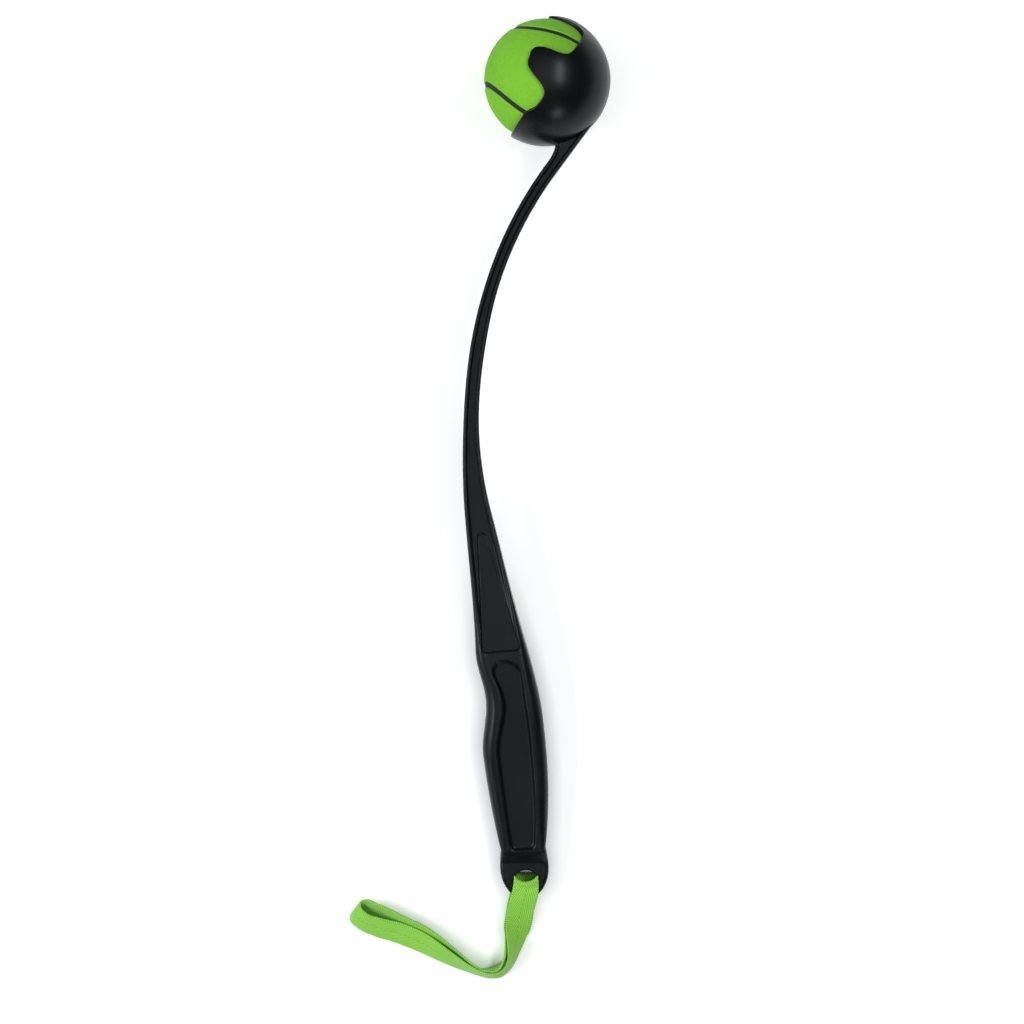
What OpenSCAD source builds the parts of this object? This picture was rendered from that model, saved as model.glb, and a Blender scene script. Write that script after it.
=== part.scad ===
// Ball launcher stick: a one-piece moulded cup, bowed arm and handle, a felt ball and a tape wrist strap.
// The stick is drawn in its own mid-plane about the centre of the cup, then laid on its side on z = 0.

/* [Ball] */
// Diameter over the felt
ball_d = 65; // [60:0.5:70]
// Thickness of the felt cover
felt_t = 3; // [2:0.1:4]
// Wall of the rubber core
core_t = 3.6; // [2.5:0.1:5]
// Width of the cement seam between the felt panels
seam_w = 2.7; // [1.2:0.1:3]
// Depth of the seam below the felt
seam_sink = 0.5; // [0.2:0.1:1.2]
// Glue line between the layers of the ball
glue_gap = 0.1; // [0.05:0.05:0.3]

/* [Cup] */
// Gap between the felt and the cup
cup_gap = 0.25; // [0.15:0.05:0.8]
// Wall of the cup
cup_wall = 2.1; // [1.6:0.1:3.2]
// Direction that the mouth faces, in degrees from +X
mouth_dir = 144; // [138:1:150]
// Angle from the mouth's axis to the rim in the upper notches
rim_angle = 97.5; // [95:0.5:104]
// Extra depth of the lower notches, in degrees
notch_drop = 3; // [0:0.5:5]
// Reach of the top tongue past the rim, in degrees
top_reach = 41; // [30:1:46]
// Half width of the top tongue, in degrees about the mouth
top_half = 20.5; // [18:0.5:36]
// Reach of each side tongue past the rim, in degrees
side_reach = 31; // [22:1:38]
// Half width of each side tongue, in degrees about the mouth
side_half = 14.3; // [11:0.1:16]
// Lean of the side tongues towards the top tongue, in degrees
side_lean = 6.2; // [0:0.1:12]
// Reach of the lower lip past the rim, in degrees
lip_reach = 6.5; // [2:0.5:9]
// Half width of the lower lip, in degrees about the mouth
lip_half = 56; // [40:0.5:60]
// Softness of the tongues' flanks, in degrees about the mouth
tongue_ease = 3.1; // [1.5:0.1:4]

/* [Arm] */
// Lean of the arm where it leaves the cup, in degrees from the stick's length
arm_lean = 36.5; // [32:0.5:40]
// Depth of the arm's middle line inside the cup's outer skin
arm_sink = 4.3; // [4.2:0.1:6]
// Straight run from beside the cup to the upper bend
arm_run = 36.5; // [30:0.5:50]
// Radius of the upper bend
bend_r = 207; // [180:1:260]
// Turn of the upper bend, in degrees
bend_turn = 23.5; // [20:0.5:26]
// Radius of the lower bend
sweep_r = 277; // [240:1:340]
// Turn of the lower bend, in degrees
sweep_turn = 22.6; // [19:0.1:25]
// Thickness of the arm in the plane of its bow
arm_t = 7.2; // [6:0.1:9]
// Width of the arm across its bow
arm_w = 14; // [11:0.5:17]
// Thickening of each half of the arm after the upper bend
arm_swell = 0.4; // [0:0.1:0.8]
// Thickness of each flange
flange_t = 1.5; // [1.2:0.1:2]
// Width of the fillet from a flange down to the web
fillet_w = 1.1; // [0.8:0.1:1.4]
// Depth of the channel on each side of the arm
channel_depth = 2.2; // [1:0.1:3.5]
// Fillet where the arm's inner flange meets the cup
root_fillet = 6.5; // [2:0.5:7]
// Length of that fillet along the arm
root_len = 12.5; // [8:0.5:14]
// Length over which the arm swells before the flare
flare_lead = 40; // [30:1:50]

/* [Handle] */
// Straight run of the flare between the arm and the grip
flare_run = 59.5; // [50:0.5:75]
// Length of the grip down to the neck
grip_run = 122; // [110:1:140]
// Turn of the grip against the arm's bow, in degrees
grip_turn = 5.9; // [3:0.1:9]
// Width where the arm opens into the flare
flare_w = 14.4; // [11:0.1:17]
// Width at the top of the grip
top_w = 25.2; // [21:0.2:28]
// Width at the grip's belly
grip_w = 34.6; // [29:0.1:38]
// Width at the neck
neck_w = 24.2; // [21:0.2:28]
// Thickness at the neck
neck_t = 18; // [15:0.5:22]
// Distance from the top of the grip to its belly
belly_drop = 54; // [50:1:62]
// Distance from the top of the grip to the middle of the finger groove
groove_drop = 40.5; // [36:0.5:46]
// Depth of the finger groove
groove_depth = 4.7; // [2:0.1:6]
// Half length of the finger groove
groove_half = 29.5; // [20:0.5:32]
// Rounding of the grip's long edges
grip_round = 6.6; // [4:0.2:7]

/* [Recesses] */
// Distance from the start of the flare to the bare panel recess
panel_drop = 9; // [6:0.5:14]
// Length of the bare panel recess in the flare
panel_len = 64; // [40:1:70]
// Width of the panel recess at its narrow end
panel_top_w = 5; // [4:0.1:6]
// Width of the panel recess at its wide end
panel_end_w = 19.6; // [14:0.1:21]
// Corner radius of the panel recess
panel_round = 2.2; // [0.8:0.1:2.4]
// Depth of the panel recess below the web
panel_depth = 0.8; // [0.4:0.1:1.5]
// Distance from the top of the grip to the grip recess
recess_drop = 19; // [16:0.5:30]
// Margin from the grip's outline to the middle of the grip recess
recess_margin = 8.3; // [7.4:0.1:9]
// Margin from the grip's outline to the two ends of the grip recess
recess_ends = 6.2; // [5.4:0.1:8]
// Share of the finger groove's depth that is added to the margin beside it
recess_wave = 0.35; // [0:0.05:0.6]
// Depth of the grip recess at its ends
recess_depth = 1.7; // [0.8:0.1:3]
// Radius of the rounded top of the grip recess
recess_round = 8; // [6:0.5:16]

/* [Knob] */
// Width of the knob
knob_w = 26.4; // [25:0.2:30]
// Thickness of the knob
knob_t = 10; // [9:0.5:11]
// Distance from the neck to the knob's widest place
knob_rise = 11; // [8:0.5:14]
// Length of the step from the grip's flank down to the knob
knob_step = 7.5; // [4:0.5:9]
// Length of the knob's round end
knob_len = 17.5; // [15:0.5:20]
// Rounding of the knob's edges
knob_round = 2.4; // [1:0.1:3]
// Diameter of the strap eye
eye_d = 13; // [11:0.1:14]
// Distance from the neck to the middle of the strap eye
eye_drop = 18.7; // [17:0.1:19.5]
// Distance of the strap eye to the back of the knob's middle
eye_side = 0.4; // [0:0.1:1.5]

/* [Strap] */
// Width of the strap's tape
strap_w = 15; // [12:0.5:15.5]
// Thickness of the tape
strap_t = 0.8; // [0.5:0.1:0.9]
// Diameter of the sewing thread
thread_d = 0.4; // [0.3:0.05:0.5]
// Width of the sewn box across the tape
sewn_w = 10; // [7:0.5:11]
// Length of the sewn box along the tape
sewn_len = 6.5; // [5:0.5:7]

/* [Hidden] */
$fn = 96;

// Radii of the ball's layers and of the cup
ball_r = ball_d / 2;
core_r = ball_r - felt_t;
cup_in = ball_r + cup_gap;
cup_r = cup_in + cup_wall;
beyond = 1.2;

// Distances along the stick's axis, from the point of the arm's line nearest the cup's centre
d_sweep = arm_run + bend_r * bend_turn * PI / 180;
d_flare = d_sweep + sweep_r * sweep_turn * PI / 180;
d_grip = d_flare + flare_run;
d_neck = d_grip + grip_run;
d_knob = d_neck + knob_rise;
d_end = d_knob + knob_len;
belly_at = d_grip + belly_drop;
groove_at = d_grip + groove_drop;
panel_from = d_flare + panel_drop;

// Runs of the axis as [length, turn], walked from the cup to the butt
runs = [
    [arm_run, 0],
    [d_sweep - arm_run, bend_turn],
    [d_flare - d_sweep, sweep_turn],
    [flare_run, 0],
    [grip_run, -grip_turn],
    [knob_rise + knob_len, 0]
];
arm_foot = cup_r - arm_sink;
axis_start = [arm_foot * cos(arm_lean), -arm_foot * sin(arm_lean)];

// Place reached after a distance on one run that starts at p with lean a
function on_run(p, a, run, d) =
    let (turned = run[1] * d / run[0], b = a - turned, r = run[1] == 0 ? 0 : run[0] * 180 / (PI * run[1]))
    run[1] == 0 ? [p.x - d * sin(a), p.y - d * cos(a), a]
    : [p.x - r * (cos(b) - cos(a)), p.y + r * (sin(b) - sin(a)), b];

// Axis place and lean, [x, y, lean], at a distance d
function axis_at(d, i = 0, p = axis_start, a = arm_lean) =
    i == len(runs) - 1 || d <= runs[i][0] ? on_run(p, a, runs[i], d)
    : let (q = on_run(p, a, runs[i], runs[i][0])) axis_at(d - runs[i][0], i + 1, [q.x, q.y], q.z);

// Point at an offset to the right of the axis
function beside(d, offset) =
    let (q = axis_at(d)) [q.x + offset * cos(q.z), q.y - offset * sin(q.z)];

// Smooth curve through rows of [distance, value, slope]
function hermite(a, b, d) =
    let (w = b[0] - a[0], t = (d - a[0]) / w, s = 1 - t)
    a[1] * (1 + 2 * t) * s * s + b[1] * t * t * (3 - 2 * t) + w * (a[2] * t * s * s - b[2] * t * t * s);
function through(rows, d, i = 0) =
    d <= rows[0][0] ? rows[0][1]
    : i == len(rows) - 1 ? rows[i][1]
    : d <= rows[i + 1][0] ? hermite(rows[i], rows[i + 1], d) : through(rows, d, i + 1);

// Smaller or larger of two values, blended over a width k
function soft_min(a, b, k) = min(a, b) - pow(max(k - abs(a - b), 0), 2) / (4 * k);
function soft_max(a, b, k) = -soft_min(-a, -b, k);

// Half width of the stick about its axis
body_rows = [
    [0, arm_t / 2, 0],
    [d_sweep - 20, arm_t / 2, 0],
    [d_sweep + 20, arm_t / 2 + arm_swell, 0],
    [d_flare - flare_lead, arm_t / 2 + 0.9, 0.045],
    [d_flare, flare_w / 2, 0.085],
    [d_grip + 4, top_w / 2, 0.12],
    [belly_at, grip_w / 2, 0],
    [d_neck, neck_w / 2, -0.19]
];
knob_rows = [[d_neck, neck_w / 2, 0.1], [d_knob, knob_w / 2, 0]];
function knob_end(d) = knob_w / 2 * sqrt(max(1 - pow((d - d_knob) / knob_len, 2), 0));
function half_width(d) =
    d <= d_neck ? through(body_rows, d) : d <= d_knob ? through(knob_rows, d) : knob_end(d);
function groove(d) =
    abs(d - groove_at) < groove_half ? groove_depth * pow(cos(90 * (d - groove_at) / groove_half), 2) : 0;
root_from = sqrt(cup_r * cup_r - pow(arm_foot - arm_t / 2, 2)) - 1;
function root(d) =
    let (t = min(max((root_from + root_len - d) / root_len, 0), 1)) root_fillet * (1 - sqrt(1 - t * t));
function left_width(d) = half_width(d) - groove(d) + root(d);

// The handle's flank lies in the plane that also touches the cup, so the stick rests on both
neck_y = axis_at(d_neck).y;
rest_tilt = asin(cup_r / norm([neck_y, neck_t / 2])) - atan2(neck_t / 2, -neck_y);
function rest_plane(y) = (cup_r + y * sin(rest_tilt)) / cos(rest_tilt);
flank_end = neck_y - 1;
flare_y = axis_at(d_flare - 24).y;
flare_rise = 0.062;
function knob_blend(y) =
    let (t = min(max((flank_end - y) / knob_step, 0), 1)) t * t * (3 - 2 * t);
function half_thick(y) =
    let (
        flared = soft_max(arm_w / 2, arm_w / 2 + flare_rise * (flare_y - y), 1.5),
        body = soft_min(flared, rest_plane(y), 3),
        k = knob_blend(y)
    )
    body * (1 - k) + knob_t / 2 * k;

// Edge rounding, channel and flange along the axis
round_rows = [
    [0, 0.9, 0],
    [d_flare, 1.1, 0],
    [d_grip - 10, 1.6, 0.05],
    [d_grip + 40, grip_round, 0],
    [d_neck - 20, grip_round, 0],
    [d_neck + 6, knob_round, 0]
];
channel_rows = [[0, channel_depth, 0], [d_flare, channel_depth, -0.005], [d_grip + 34, 0, 0]];
fillet_rows = [[0, fillet_w, 0], [d_flare - flare_lead, fillet_w, 0], [d_grip, fillet_w + 1, 0]];
function end_round(d) =
    let (t = min(max((knob_round - (d_end - d)) / knob_round, 0), 1)) knob_round * (1 - sqrt(1 - t * t));

// One cross-section of the stick, as points about the axis
corner_steps = 4;
function quarter(width, r, flange, fillet, depth, top) = concat(
    [for (k = [0 : corner_steps]) let (a = 90 * k / corner_steps)
        [width - r + r * cos(a), r - r * sin(a)]],
    [[width - max(flange, r + 0.1), 0], [width - max(flange, r + 0.1) - fillet, depth]]
);
function flip(rows) = [for (i = [len(rows) - 1 : -1 : 0]) rows[i]];
function section(d) =
    let (
        q = axis_at(d),
        hw = half_width(d),
        r = min(through(round_rows, d), 0.7 * hw),
        depth = through(channel_rows, d),
        fillet = min(through(fillet_rows, d), 0.5 * (hw - r - 0.2)),
        right = quarter(hw, r, flange_t, fillet, depth),
        left = [for (v = quarter(left_width(d), r, flange_t, fillet, depth)) [-v.x, v.y]],
        upper = concat(left, flip(right)),
        placed = [for (v = upper)
            let (xy = [q.x + v.x * cos(q.z), q.y - v.x * sin(q.z)])
            [xy.x, xy.y, max(half_thick(xy.y) - v.y - end_round(d), 0.3)]]
    )
    concat(placed, [for (v = flip(placed)) [v.x, v.y, -v.z]]);

// Stations of the loft: closer together where the outline turns
end_steps = 9;
stations = concat(
    [for (d = [0 : 8 : d_flare - 4]) d],
    [for (d = [d_flare : 7 : d_grip - 4]) d],
    [for (d = [d_grip : 4 : d_neck - 2]) d],
    [for (k = [0 : 4]) d_neck + knob_rise * k / 5],
    [for (k = [0 : end_steps]) d_knob + knob_len * sin(86 * k / end_steps)]
);

// Solid skinned over rings that all have the same number of points
module skin(rings) {
    n = len(rings[0]);
    last = (len(rings) - 1) * n;
    polyhedron(
        points = [for (ring = rings) for (p = ring) p],
        faces = concat(
            [[for (k = [n - 1 : -1 : 0]) k], [for (k = [0 : n - 1]) last + k]],
            [for (i = [0 : len(rings) - 2]) for (k = [0 : n - 1])
                let (a = i * n + k, b = i * n + (k + 1) % n) each [[a, b, b + n], [a, b + n, a + n]]]
        )
    );
}

// Solid wedge from the origin out to r, inside a closed curve of unit vectors around the pole +Z
module sector(curve, r, rings) {
    n = len(curve);
    arcs = [for (v = curve) acos(v.z)];
    turns = [for (v = curve) atan2(v.y, v.x)];
    points = concat(
        [[0, 0, 0], [0, 0, r]],
        [for (j = [1 : rings]) for (i = [0 : n - 1])
            let (a = arcs[i] * j / rings) r * [sin(a) * cos(turns[i]), sin(a) * sin(turns[i]), cos(a)]]
    );
    rim = 2 + (rings - 1) * n;
    polyhedron(
        points = points,
        faces = concat(
            [for (i = [0 : n - 1]) [1, 2 + (i + 1) % n, 2 + i]],
            [for (j = [0 : rings - 2]) for (i = [0 : n - 1])
                let (a = 2 + j * n + i, b = 2 + j * n + (i + 1) % n) each [[a, b, b + n], [a, b + n, a + n]]],
            [for (i = [0 : n - 1]) [0, rim + i, rim + (i + 1) % n]]
        )
    );
}

module ball_shell(outer, inner) {
    difference() {
        sphere(r = outer);
        sphere(r = inner);
    }
}

// Rim of the cup: its angle from the mouth's axis at each turn about that axis
function wrapped(a) = a - 360 * round(a / 360);
function ease(a, at, soft) = a < at ? exp((a - at) / soft) / 2 : 1 - exp((at - a) / soft) / 2;
function rim(turn) =
    let (
        a = abs(wrapped(turn - 90)),
        side = 90 + side_lean,
        low = ease(a, side - side_half, tongue_ease),
        high = 1 - ease(a, side + side_half, tongue_ease)
    )
    rim_angle
    + notch_drop * (1 - ease(a, side, tongue_ease))
    - lip_reach * (1 - ease(a, lip_half, 1.5 * tongue_ease))
    - side_reach * low * high
    - top_reach * ease(a, 180 - top_half, 1.6 * tongue_ease);
rim_steps = 240;
mouth_curve = [for (i = [0 : rim_steps - 1])
    let (a = 360 * i / rim_steps, r = rim(a)) [sin(r) * cos(a), sin(r) * sin(a), cos(r)]];

module cup_shell() {
    difference() {
        sphere(r = cup_r);
        rotate([0, 0, mouth_dir]) rotate([0, 90, 0]) sector(mouth_curve, cup_r * beyond, 2);
    }
}

module stick_loft() {
    skin([for (d = stations) section(d)]);
}

// Recess cut square into a sloping face, from [x, y] points and the face's height at two places along y
module recess(outline, high, low) {
    slope = atan2(high[1] - low[1], high[0] - low[0]);
    translate([0, high[0], high[1]])
        rotate([slope, 0, 0])
            linear_extrude(height = arm_w)
                polygon([for (p = outline) [p.x, p.y - high[0]]]);
}

// Corner of a polygon replaced by an arc
function rounded_corner(a, b, c, r, steps = 5) =
    let (
        u = (a - b) / norm(a - b),
        v = (c - b) / norm(c - b),
        half = acos(u * v) / 2,
        middle = b + (u + v) / norm(u + v) * r / sin(half),
        from = b + u * r / tan(half) - middle,
        to = b + v * r / tan(half) - middle
    )
    [for (k = [0 : steps]) let (w = from * (steps - k) + to * k) middle + w * r / norm(w)];
function rounded(points, r) = [for (i = [0 : len(points) - 1])
    each rounded_corner(points[(i + len(points) - 1) % len(points)], points[i], points[(i + 1) % len(points)], r)];

panel_outline = rounded([
    beside(panel_from, -panel_top_w / 2),
    beside(panel_from, panel_top_w / 2),
    beside(panel_from + panel_len, panel_end_w / 2),
    beside(panel_from + panel_len, -panel_end_w / 2)
], panel_round);
function panel_floor(d) =
    let (y = axis_at(d).y) [y, half_thick(y) - through(channel_rows, d) - panel_depth];

// The grip recess follows the waved front and the back of the grip, and has a round top
recess_from = d_grip + recess_drop;
recess_to = d_neck;
margin_rows = [
    [recess_from, recess_ends, 0],
    [recess_from + 28, recess_margin, 0],
    [belly_at + 12, recess_margin, 0],
    [recess_to, recess_ends, -0.05]
];
function margin(d) = through(margin_rows, d);
function recess_front(d) = left_width(d) - margin(d) - recess_wave * groove(d);
function arch(d) =
    let (t = max(1 - (d - recess_from) / recess_round, 0)) sqrt(max(1 - t * t, 0));
recess_stations = concat(
    [for (k = [0 : 8]) recess_from + recess_round * (1 - cos(90 * k / 8))],
    [for (d = [recess_from + recess_round + 4 : 5 : recess_to - 2]) d],
    [recess_to]
);
recess_outline = concat(
    [for (d = recess_stations) beside(d, (half_width(d) - margin(d)) * max(arch(d), 0.02))],
    [for (d = flip(recess_stations)) beside(d, -recess_front(d) * max(arch(d), 0.02))]
);
function recess_floor(d) =
    let (y = axis_at(d).y) [y, half_thick(y) - recess_depth];

module side_recesses() {
    recess(panel_outline, panel_floor(panel_from), panel_floor(panel_from + panel_len));
    recess(recess_outline, recess_floor(recess_from), recess_floor(recess_to));
}

eye_at = beside(d_neck + eye_drop, eye_side);

// The stick laid on its side, with the middle of its outline on the origin
left_edge = min([for (d = stations) beside(d, -left_width(d)).x]);
butt_edge = axis_at(d_end).y * cos(rest_tilt) - knob_t / 2 * sin(rest_tilt);
middle = [(left_edge + cup_r) / 2, (butt_edge + cup_r) / 2, 0];
module laid() {
    translate([-middle.x, -middle.y, cup_r]) rotate([rest_tilt, 0, 0]) children();
}

module launcher_stick() {
    color("#1b1e20") laid() difference() {
        union() {
            cup_shell();
            stick_loft();
        }
        sphere(r = cup_in);
        side_recesses();
        mirror([0, 0, 1]) side_recesses();
        translate([eye_at.x, eye_at.y, -knob_t]) cylinder(d = eye_d, h = 2 * knob_t);
    }
}

// Route of the tape from its upper sewn end through the eye, round the loop and back under the upper end.
// A row has the middle of the tape from the eye along the floor, the heading and rise of its width,
// and half the angle that the tape is curled through across its width.
lap_z = [0.95, 2];
lap_heading = 170;
strap_rows = [
    [-3.9, -22, lap_z[1], lap_heading, 0, 0],
    [-2.2, -12.5, lap_z[1], lap_heading, 0, 0],
    [-1, -8.5, 1.6, 176, 0, 26],
    [0, -6.3, 1.7, 180, 0, 60],
    [0, -5.3, 2.3, 180, 0, 78],
    [0, -5, 4.5, 180, 0, 82],
    [0, -4.4, 8.5, 180, 0, 82],
    [0, -3.3, 12, 180, 0, 80],
    [0, -1.6, 14.2, 180, 0, 68],
    [0, 0.2, 16, 180, 0, 56],
    [0, 0.1, 17.2, 180, 0, 53],
    [0, -1.1, 17.4, 180, 0, 51],
    [0, -2.1, 16.3, 180, 0, 48],
    [0, -3.4, 15.6, 180, 0, 43],
    [-0.4, -6.5, 15.5, 180, 0, 30],
    [-1.2, -9.5, 14.8, 180, 3, 15],
    [-2.4, -13.5, 13, 178, 10, 0],
    [-4.1, -21.5, 11, 175, 23, 0],
    [-5.2, -30, 9.5, 166, 42, 0],
    [-6.5, -38, 8.2, 158, 62, 0],
    [-8.2, -44.6, 7.7, 144, 72, 0],
    [-10.9, -48.9, 7.6, 120, 73, 0],
    [-14.7, -51.5, 7.6, 96, 71, 0],
    [-19.7, -52, 7.6, 82, 72, 0],
    [-25.7, -50.4, 7.6, 74, 71, 0],
    [-32.2, -47.6, 7.5, 70, 67, 0],
    [-38.7, -44.2, 7.2, 69, 58, 0],
    [-47.7, -39.2, 6.4, 67, 47, 0],
    [-55.2, -35, 5.5, 69, 38, 0],
    [-69.7, -29, 5, 69, 34, 0],
    [-81.7, -25.6, 5.3, 66, 38, 0],
    [-89.2, -22.3, 5.8, 60, 43, 0],
    [-92.7, -18.5, 5.8, 56, 42, 0],
    [-92.5, -15.5, 6, 56, 43, 0],
    [-89.7, -14, 6.4, 55, 48, 0],
    [-82.2, -16.2, 6.6, 58, 52, 0],
    [-69.2, -22.6, 6.5, 65, 50, 0],
    [-54.2, -30, 6.5, 67, 51, 0],
    [-43.2, -37.7, 6.8, 70, 55, 0],
    [-36.2, -42.5, 7.1, 72, 63, 0],
    [-29.2, -47, 7.5, 75, 72, 0],
    [-21.2, -48.7, 7.7, 84, 85, 0],
    [-15.4, -47.5, 7.8, 98, 92, 0],
    [-11.4, -43.4, 7.7, 130, 80, 0],
    [-8.3, -37.4, 7, 154, 63, 0],
    [-5.6, -30.5, 5.2, 168, 36, 0],
    [-4.5, -25, lap_z[0] + 0.6, lap_heading, 5, 0],
    [-4.1, -23.2, lap_z[0], lap_heading, 0, 0],
    [-3.9, -22, lap_z[0], lap_heading, 0, 0],
    [-2.2, -12.5, lap_z[0], lap_heading, 0, 0],
    [-1, -8.5, 0.5, 174, 0, 0],
    [-0.3, -4, 0.5, 178, 0, 12],
    [0, 1.8, 0.5, 180, 0, 24]
];
function place(row) = [row[0], row[1], row[2]];
strap_spans = [for (i = [1 : len(strap_rows) - 1]) norm(place(strap_rows[i]) - place(strap_rows[i - 1]))];
function total(v, n, i = 0) = i >= n ? 0 : v[i] + total(v, n, i + 1);
strap_at = [for (i = [0 : len(strap_rows) - 1]) total(strap_spans, i)];

// Each value of the rows is carried along the tape on one smooth curve
function strap_slope(i, c) =
    let (
        n = len(strap_spans),
        back = i == 0 ? 0 : (strap_rows[i][c] - strap_rows[i - 1][c]) / strap_spans[i - 1],
        ahead = i == n ? 0 : (strap_rows[i + 1][c] - strap_rows[i][c]) / strap_spans[i]
    )
    i == 0 ? ahead
    : i == n ? back
    : (back * strap_spans[i] + ahead * strap_spans[i - 1]) / (strap_spans[i] + strap_spans[i - 1]);
strap_curves = [for (c = [0 : 5])
    [for (i = [0 : len(strap_rows) - 1]) [strap_at[i], strap_rows[i][c], strap_slope(i, c)]]];
strap_stations = [for (i = [0 : len(strap_spans) - 1])
    let (n = max(2, ceil(strap_spans[i] / 4.5))) for (k = [0 : n - 1]) strap_at[i] + strap_spans[i] * k / n];
strap_across = 6;
function strap_line(d) =
    let (
        v = [for (c = strap_curves) through(c, d)],
        wide = [cos(v[4]) * cos(v[3]), cos(v[4]) * sin(v[3]), sin(v[4])],
        bend = max(v[5], 0.01) / (strap_w / 2)
    )
    [for (k = [0 : strap_across])
        let (a = bend * strap_w * (k / strap_across - 0.5), r = 180 / (PI * bend))
        place(v) + r * sin(a) * wide + r * (1 - cos(a)) * [0, 1, 0]];
strap_grid = [for (d = concat(strap_stations, [strap_at[len(strap_at) - 1]])) strap_line(d)];
function strap_normal(i, k) =
    let (
        m = len(strap_grid) - 1,
        along = strap_grid[min(i + 1, m)][k] - strap_grid[max(i - 1, 0)][k],
        wide = strap_grid[i][min(k + 1, strap_across)] - strap_grid[i][max(k - 1, 0)],
        n = cross(along, wide)
    )
    n / norm(n);
function strap_face(i, side) =
    [for (k = [0 : strap_across]) strap_grid[i][k] + strap_normal(i, k) * side * strap_t / 2];

// Sewn box: stitch holes around a rectangle in the middle of the lap, an even number of them
lap_middle = [-3, -17.2, (lap_z[0] + lap_z[1]) / 2];
stitch_holes = concat(
    [for (k = [0 : 3]) [sewn_w * (k / 3 - 0.5), sewn_len / 2]],
    [for (k = [1 : 2]) [sewn_w / 2, sewn_len * (0.5 - k / 3)]],
    [for (k = [0 : 3]) [sewn_w * (0.5 - k / 3), -sewn_len / 2]],
    [for (k = [1 : 2]) [-sewn_w / 2, sewn_len * (k / 3 - 0.5)]]
);
thread_gap = 0.05;
stitch_rise = (lap_z[1] - lap_z[0]) / 2 + strap_t / 2 + thread_gap + thread_d / 2;

module at_eye() {
    translate([eye_at.x - middle.x, eye_at.y * cos(rest_tilt) - middle.y, 0]) children();
}

module at_lap() {
    at_eye() translate(lap_middle) rotate([0, 0, lap_heading - 180]) children();
}

module stitch_posts(d) {
    for (p = stitch_holes) translate([p.x, p.y, -stitch_rise]) cylinder(d = d, h = 2 * stitch_rise);
}

module wrist_strap() {
    color("#8fd455") difference() {
        at_eye() skin([for (i = [0 : len(strap_grid) - 1]) concat(strap_face(i, 1), flip(strap_face(i, -1)))]);
        at_lap() stitch_posts(thread_d + 2 * thread_gap);
    }
}

// Running stitch that passes through every hole and lies on the upper and the lower face by turns
module strap_stitching() {
    color("#8fd455") at_lap() {
        stitch_posts(thread_d, $fn = 8);
        for (i = [0 : len(stitch_holes) - 1]) {
            from = stitch_holes[i];
            to = stitch_holes[(i + 1) % len(stitch_holes)];
            run = to - from;
            translate([from.x, from.y, i % 2 == 0 ? stitch_rise : -stitch_rise])
                rotate([0, 90, atan2(run.y, run.x)])
                    translate([0, 0, -thread_d / 2])
                        cylinder(d = thread_d, h = norm(run) + thread_d, $fn = 8);
        }
    }
}

// The ball's own frame, turned so that its seam shows as on the real ball
ball_turn = [106, -43, 52];
module in_cup() {
    laid() rotate(ball_turn) children();
}

module core_half(turn) {
    rotate([turn, 0, 0]) intersection() {
        ball_shell(core_r, core_r - core_t);
        translate([0, 0, ball_r]) cube(2 * ball_r, center = true);
    }
}

module ball_core_half_a() {
    color("#3a3d38") in_cup() core_half(0);
}

module ball_core_half_b() {
    color("#3a3d38") in_cup() core_half(180);
}

// Seam line of the ball: a closed curve that winds between its two felt panels
seam_b = 0.24;
seam_a = 1 - seam_b;
seam_steps = 96;
function seam_point(t) =
    [seam_a * cos(t) + seam_b * cos(3 * t), seam_a * sin(t) - seam_b * sin(3 * t),
        2 * sqrt(seam_a * seam_b) * sin(2 * t)];
function seam_side(t, shift) =
    let (
        p = seam_point(t),
        along = seam_point(t + 0.5) - seam_point(t - 0.5),
        side = cross(p, along),
        q = p + side / norm(side) * shift / ball_r
    )
    q / norm(q);
function panel_curve(inset) = [for (i = [0 : seam_steps - 1]) seam_side(360 * i / seam_steps, inset)];

module felt_panel(turn) {
    color("#7cc63a") in_cup() intersection() {
        rotate([0, 0, turn / 2]) ball_shell(ball_r, core_r + glue_gap);
        rotate([turn, 0, 0]) sector(panel_curve(seam_w / 2 + glue_gap), ball_r * beyond, 6);
    }
}

module felt_panel_a() {
    felt_panel(0);
}

module felt_panel_b() {
    felt_panel(180);
}

module ball_seam() {
    color("#3f4440") in_cup() difference() {
        ball_shell(ball_r - seam_sink, core_r + glue_gap);
        for (turn = [0, 180]) rotate([turn, 0, 0]) sector(panel_curve(seam_w / 2), ball_r * beyond, 6);
    }
}

launcher_stick();
wrist_strap();
strap_stitching();
ball_core_half_a();
ball_core_half_b();
felt_panel_a();
felt_panel_b();
ball_seam();
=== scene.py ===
"""Looks of a ball launcher stick: claw cup, bowed arm, waved handle, felt ball and tape wrist strap."""

import logging
import math
from dataclasses import dataclass, field
from enum import Enum
from typing import Sequence

import bmesh
import bpy
import numpy as np
from mathutils import Euler, Matrix, Vector, noise


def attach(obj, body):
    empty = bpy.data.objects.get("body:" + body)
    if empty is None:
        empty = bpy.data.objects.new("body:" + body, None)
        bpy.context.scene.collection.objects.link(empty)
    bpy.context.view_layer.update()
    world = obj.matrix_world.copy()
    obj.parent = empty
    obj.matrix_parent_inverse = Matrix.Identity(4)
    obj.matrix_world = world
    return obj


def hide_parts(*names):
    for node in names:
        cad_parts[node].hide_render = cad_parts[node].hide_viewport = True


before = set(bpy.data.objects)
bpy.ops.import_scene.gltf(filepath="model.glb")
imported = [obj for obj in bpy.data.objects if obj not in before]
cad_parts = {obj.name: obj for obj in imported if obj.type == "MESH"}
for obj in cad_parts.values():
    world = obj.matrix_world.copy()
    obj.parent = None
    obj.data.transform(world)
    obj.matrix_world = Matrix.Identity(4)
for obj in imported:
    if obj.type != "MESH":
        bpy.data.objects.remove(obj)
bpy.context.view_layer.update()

LOG = logging.getLogger("launcher")
WELD = 1e-7

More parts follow.
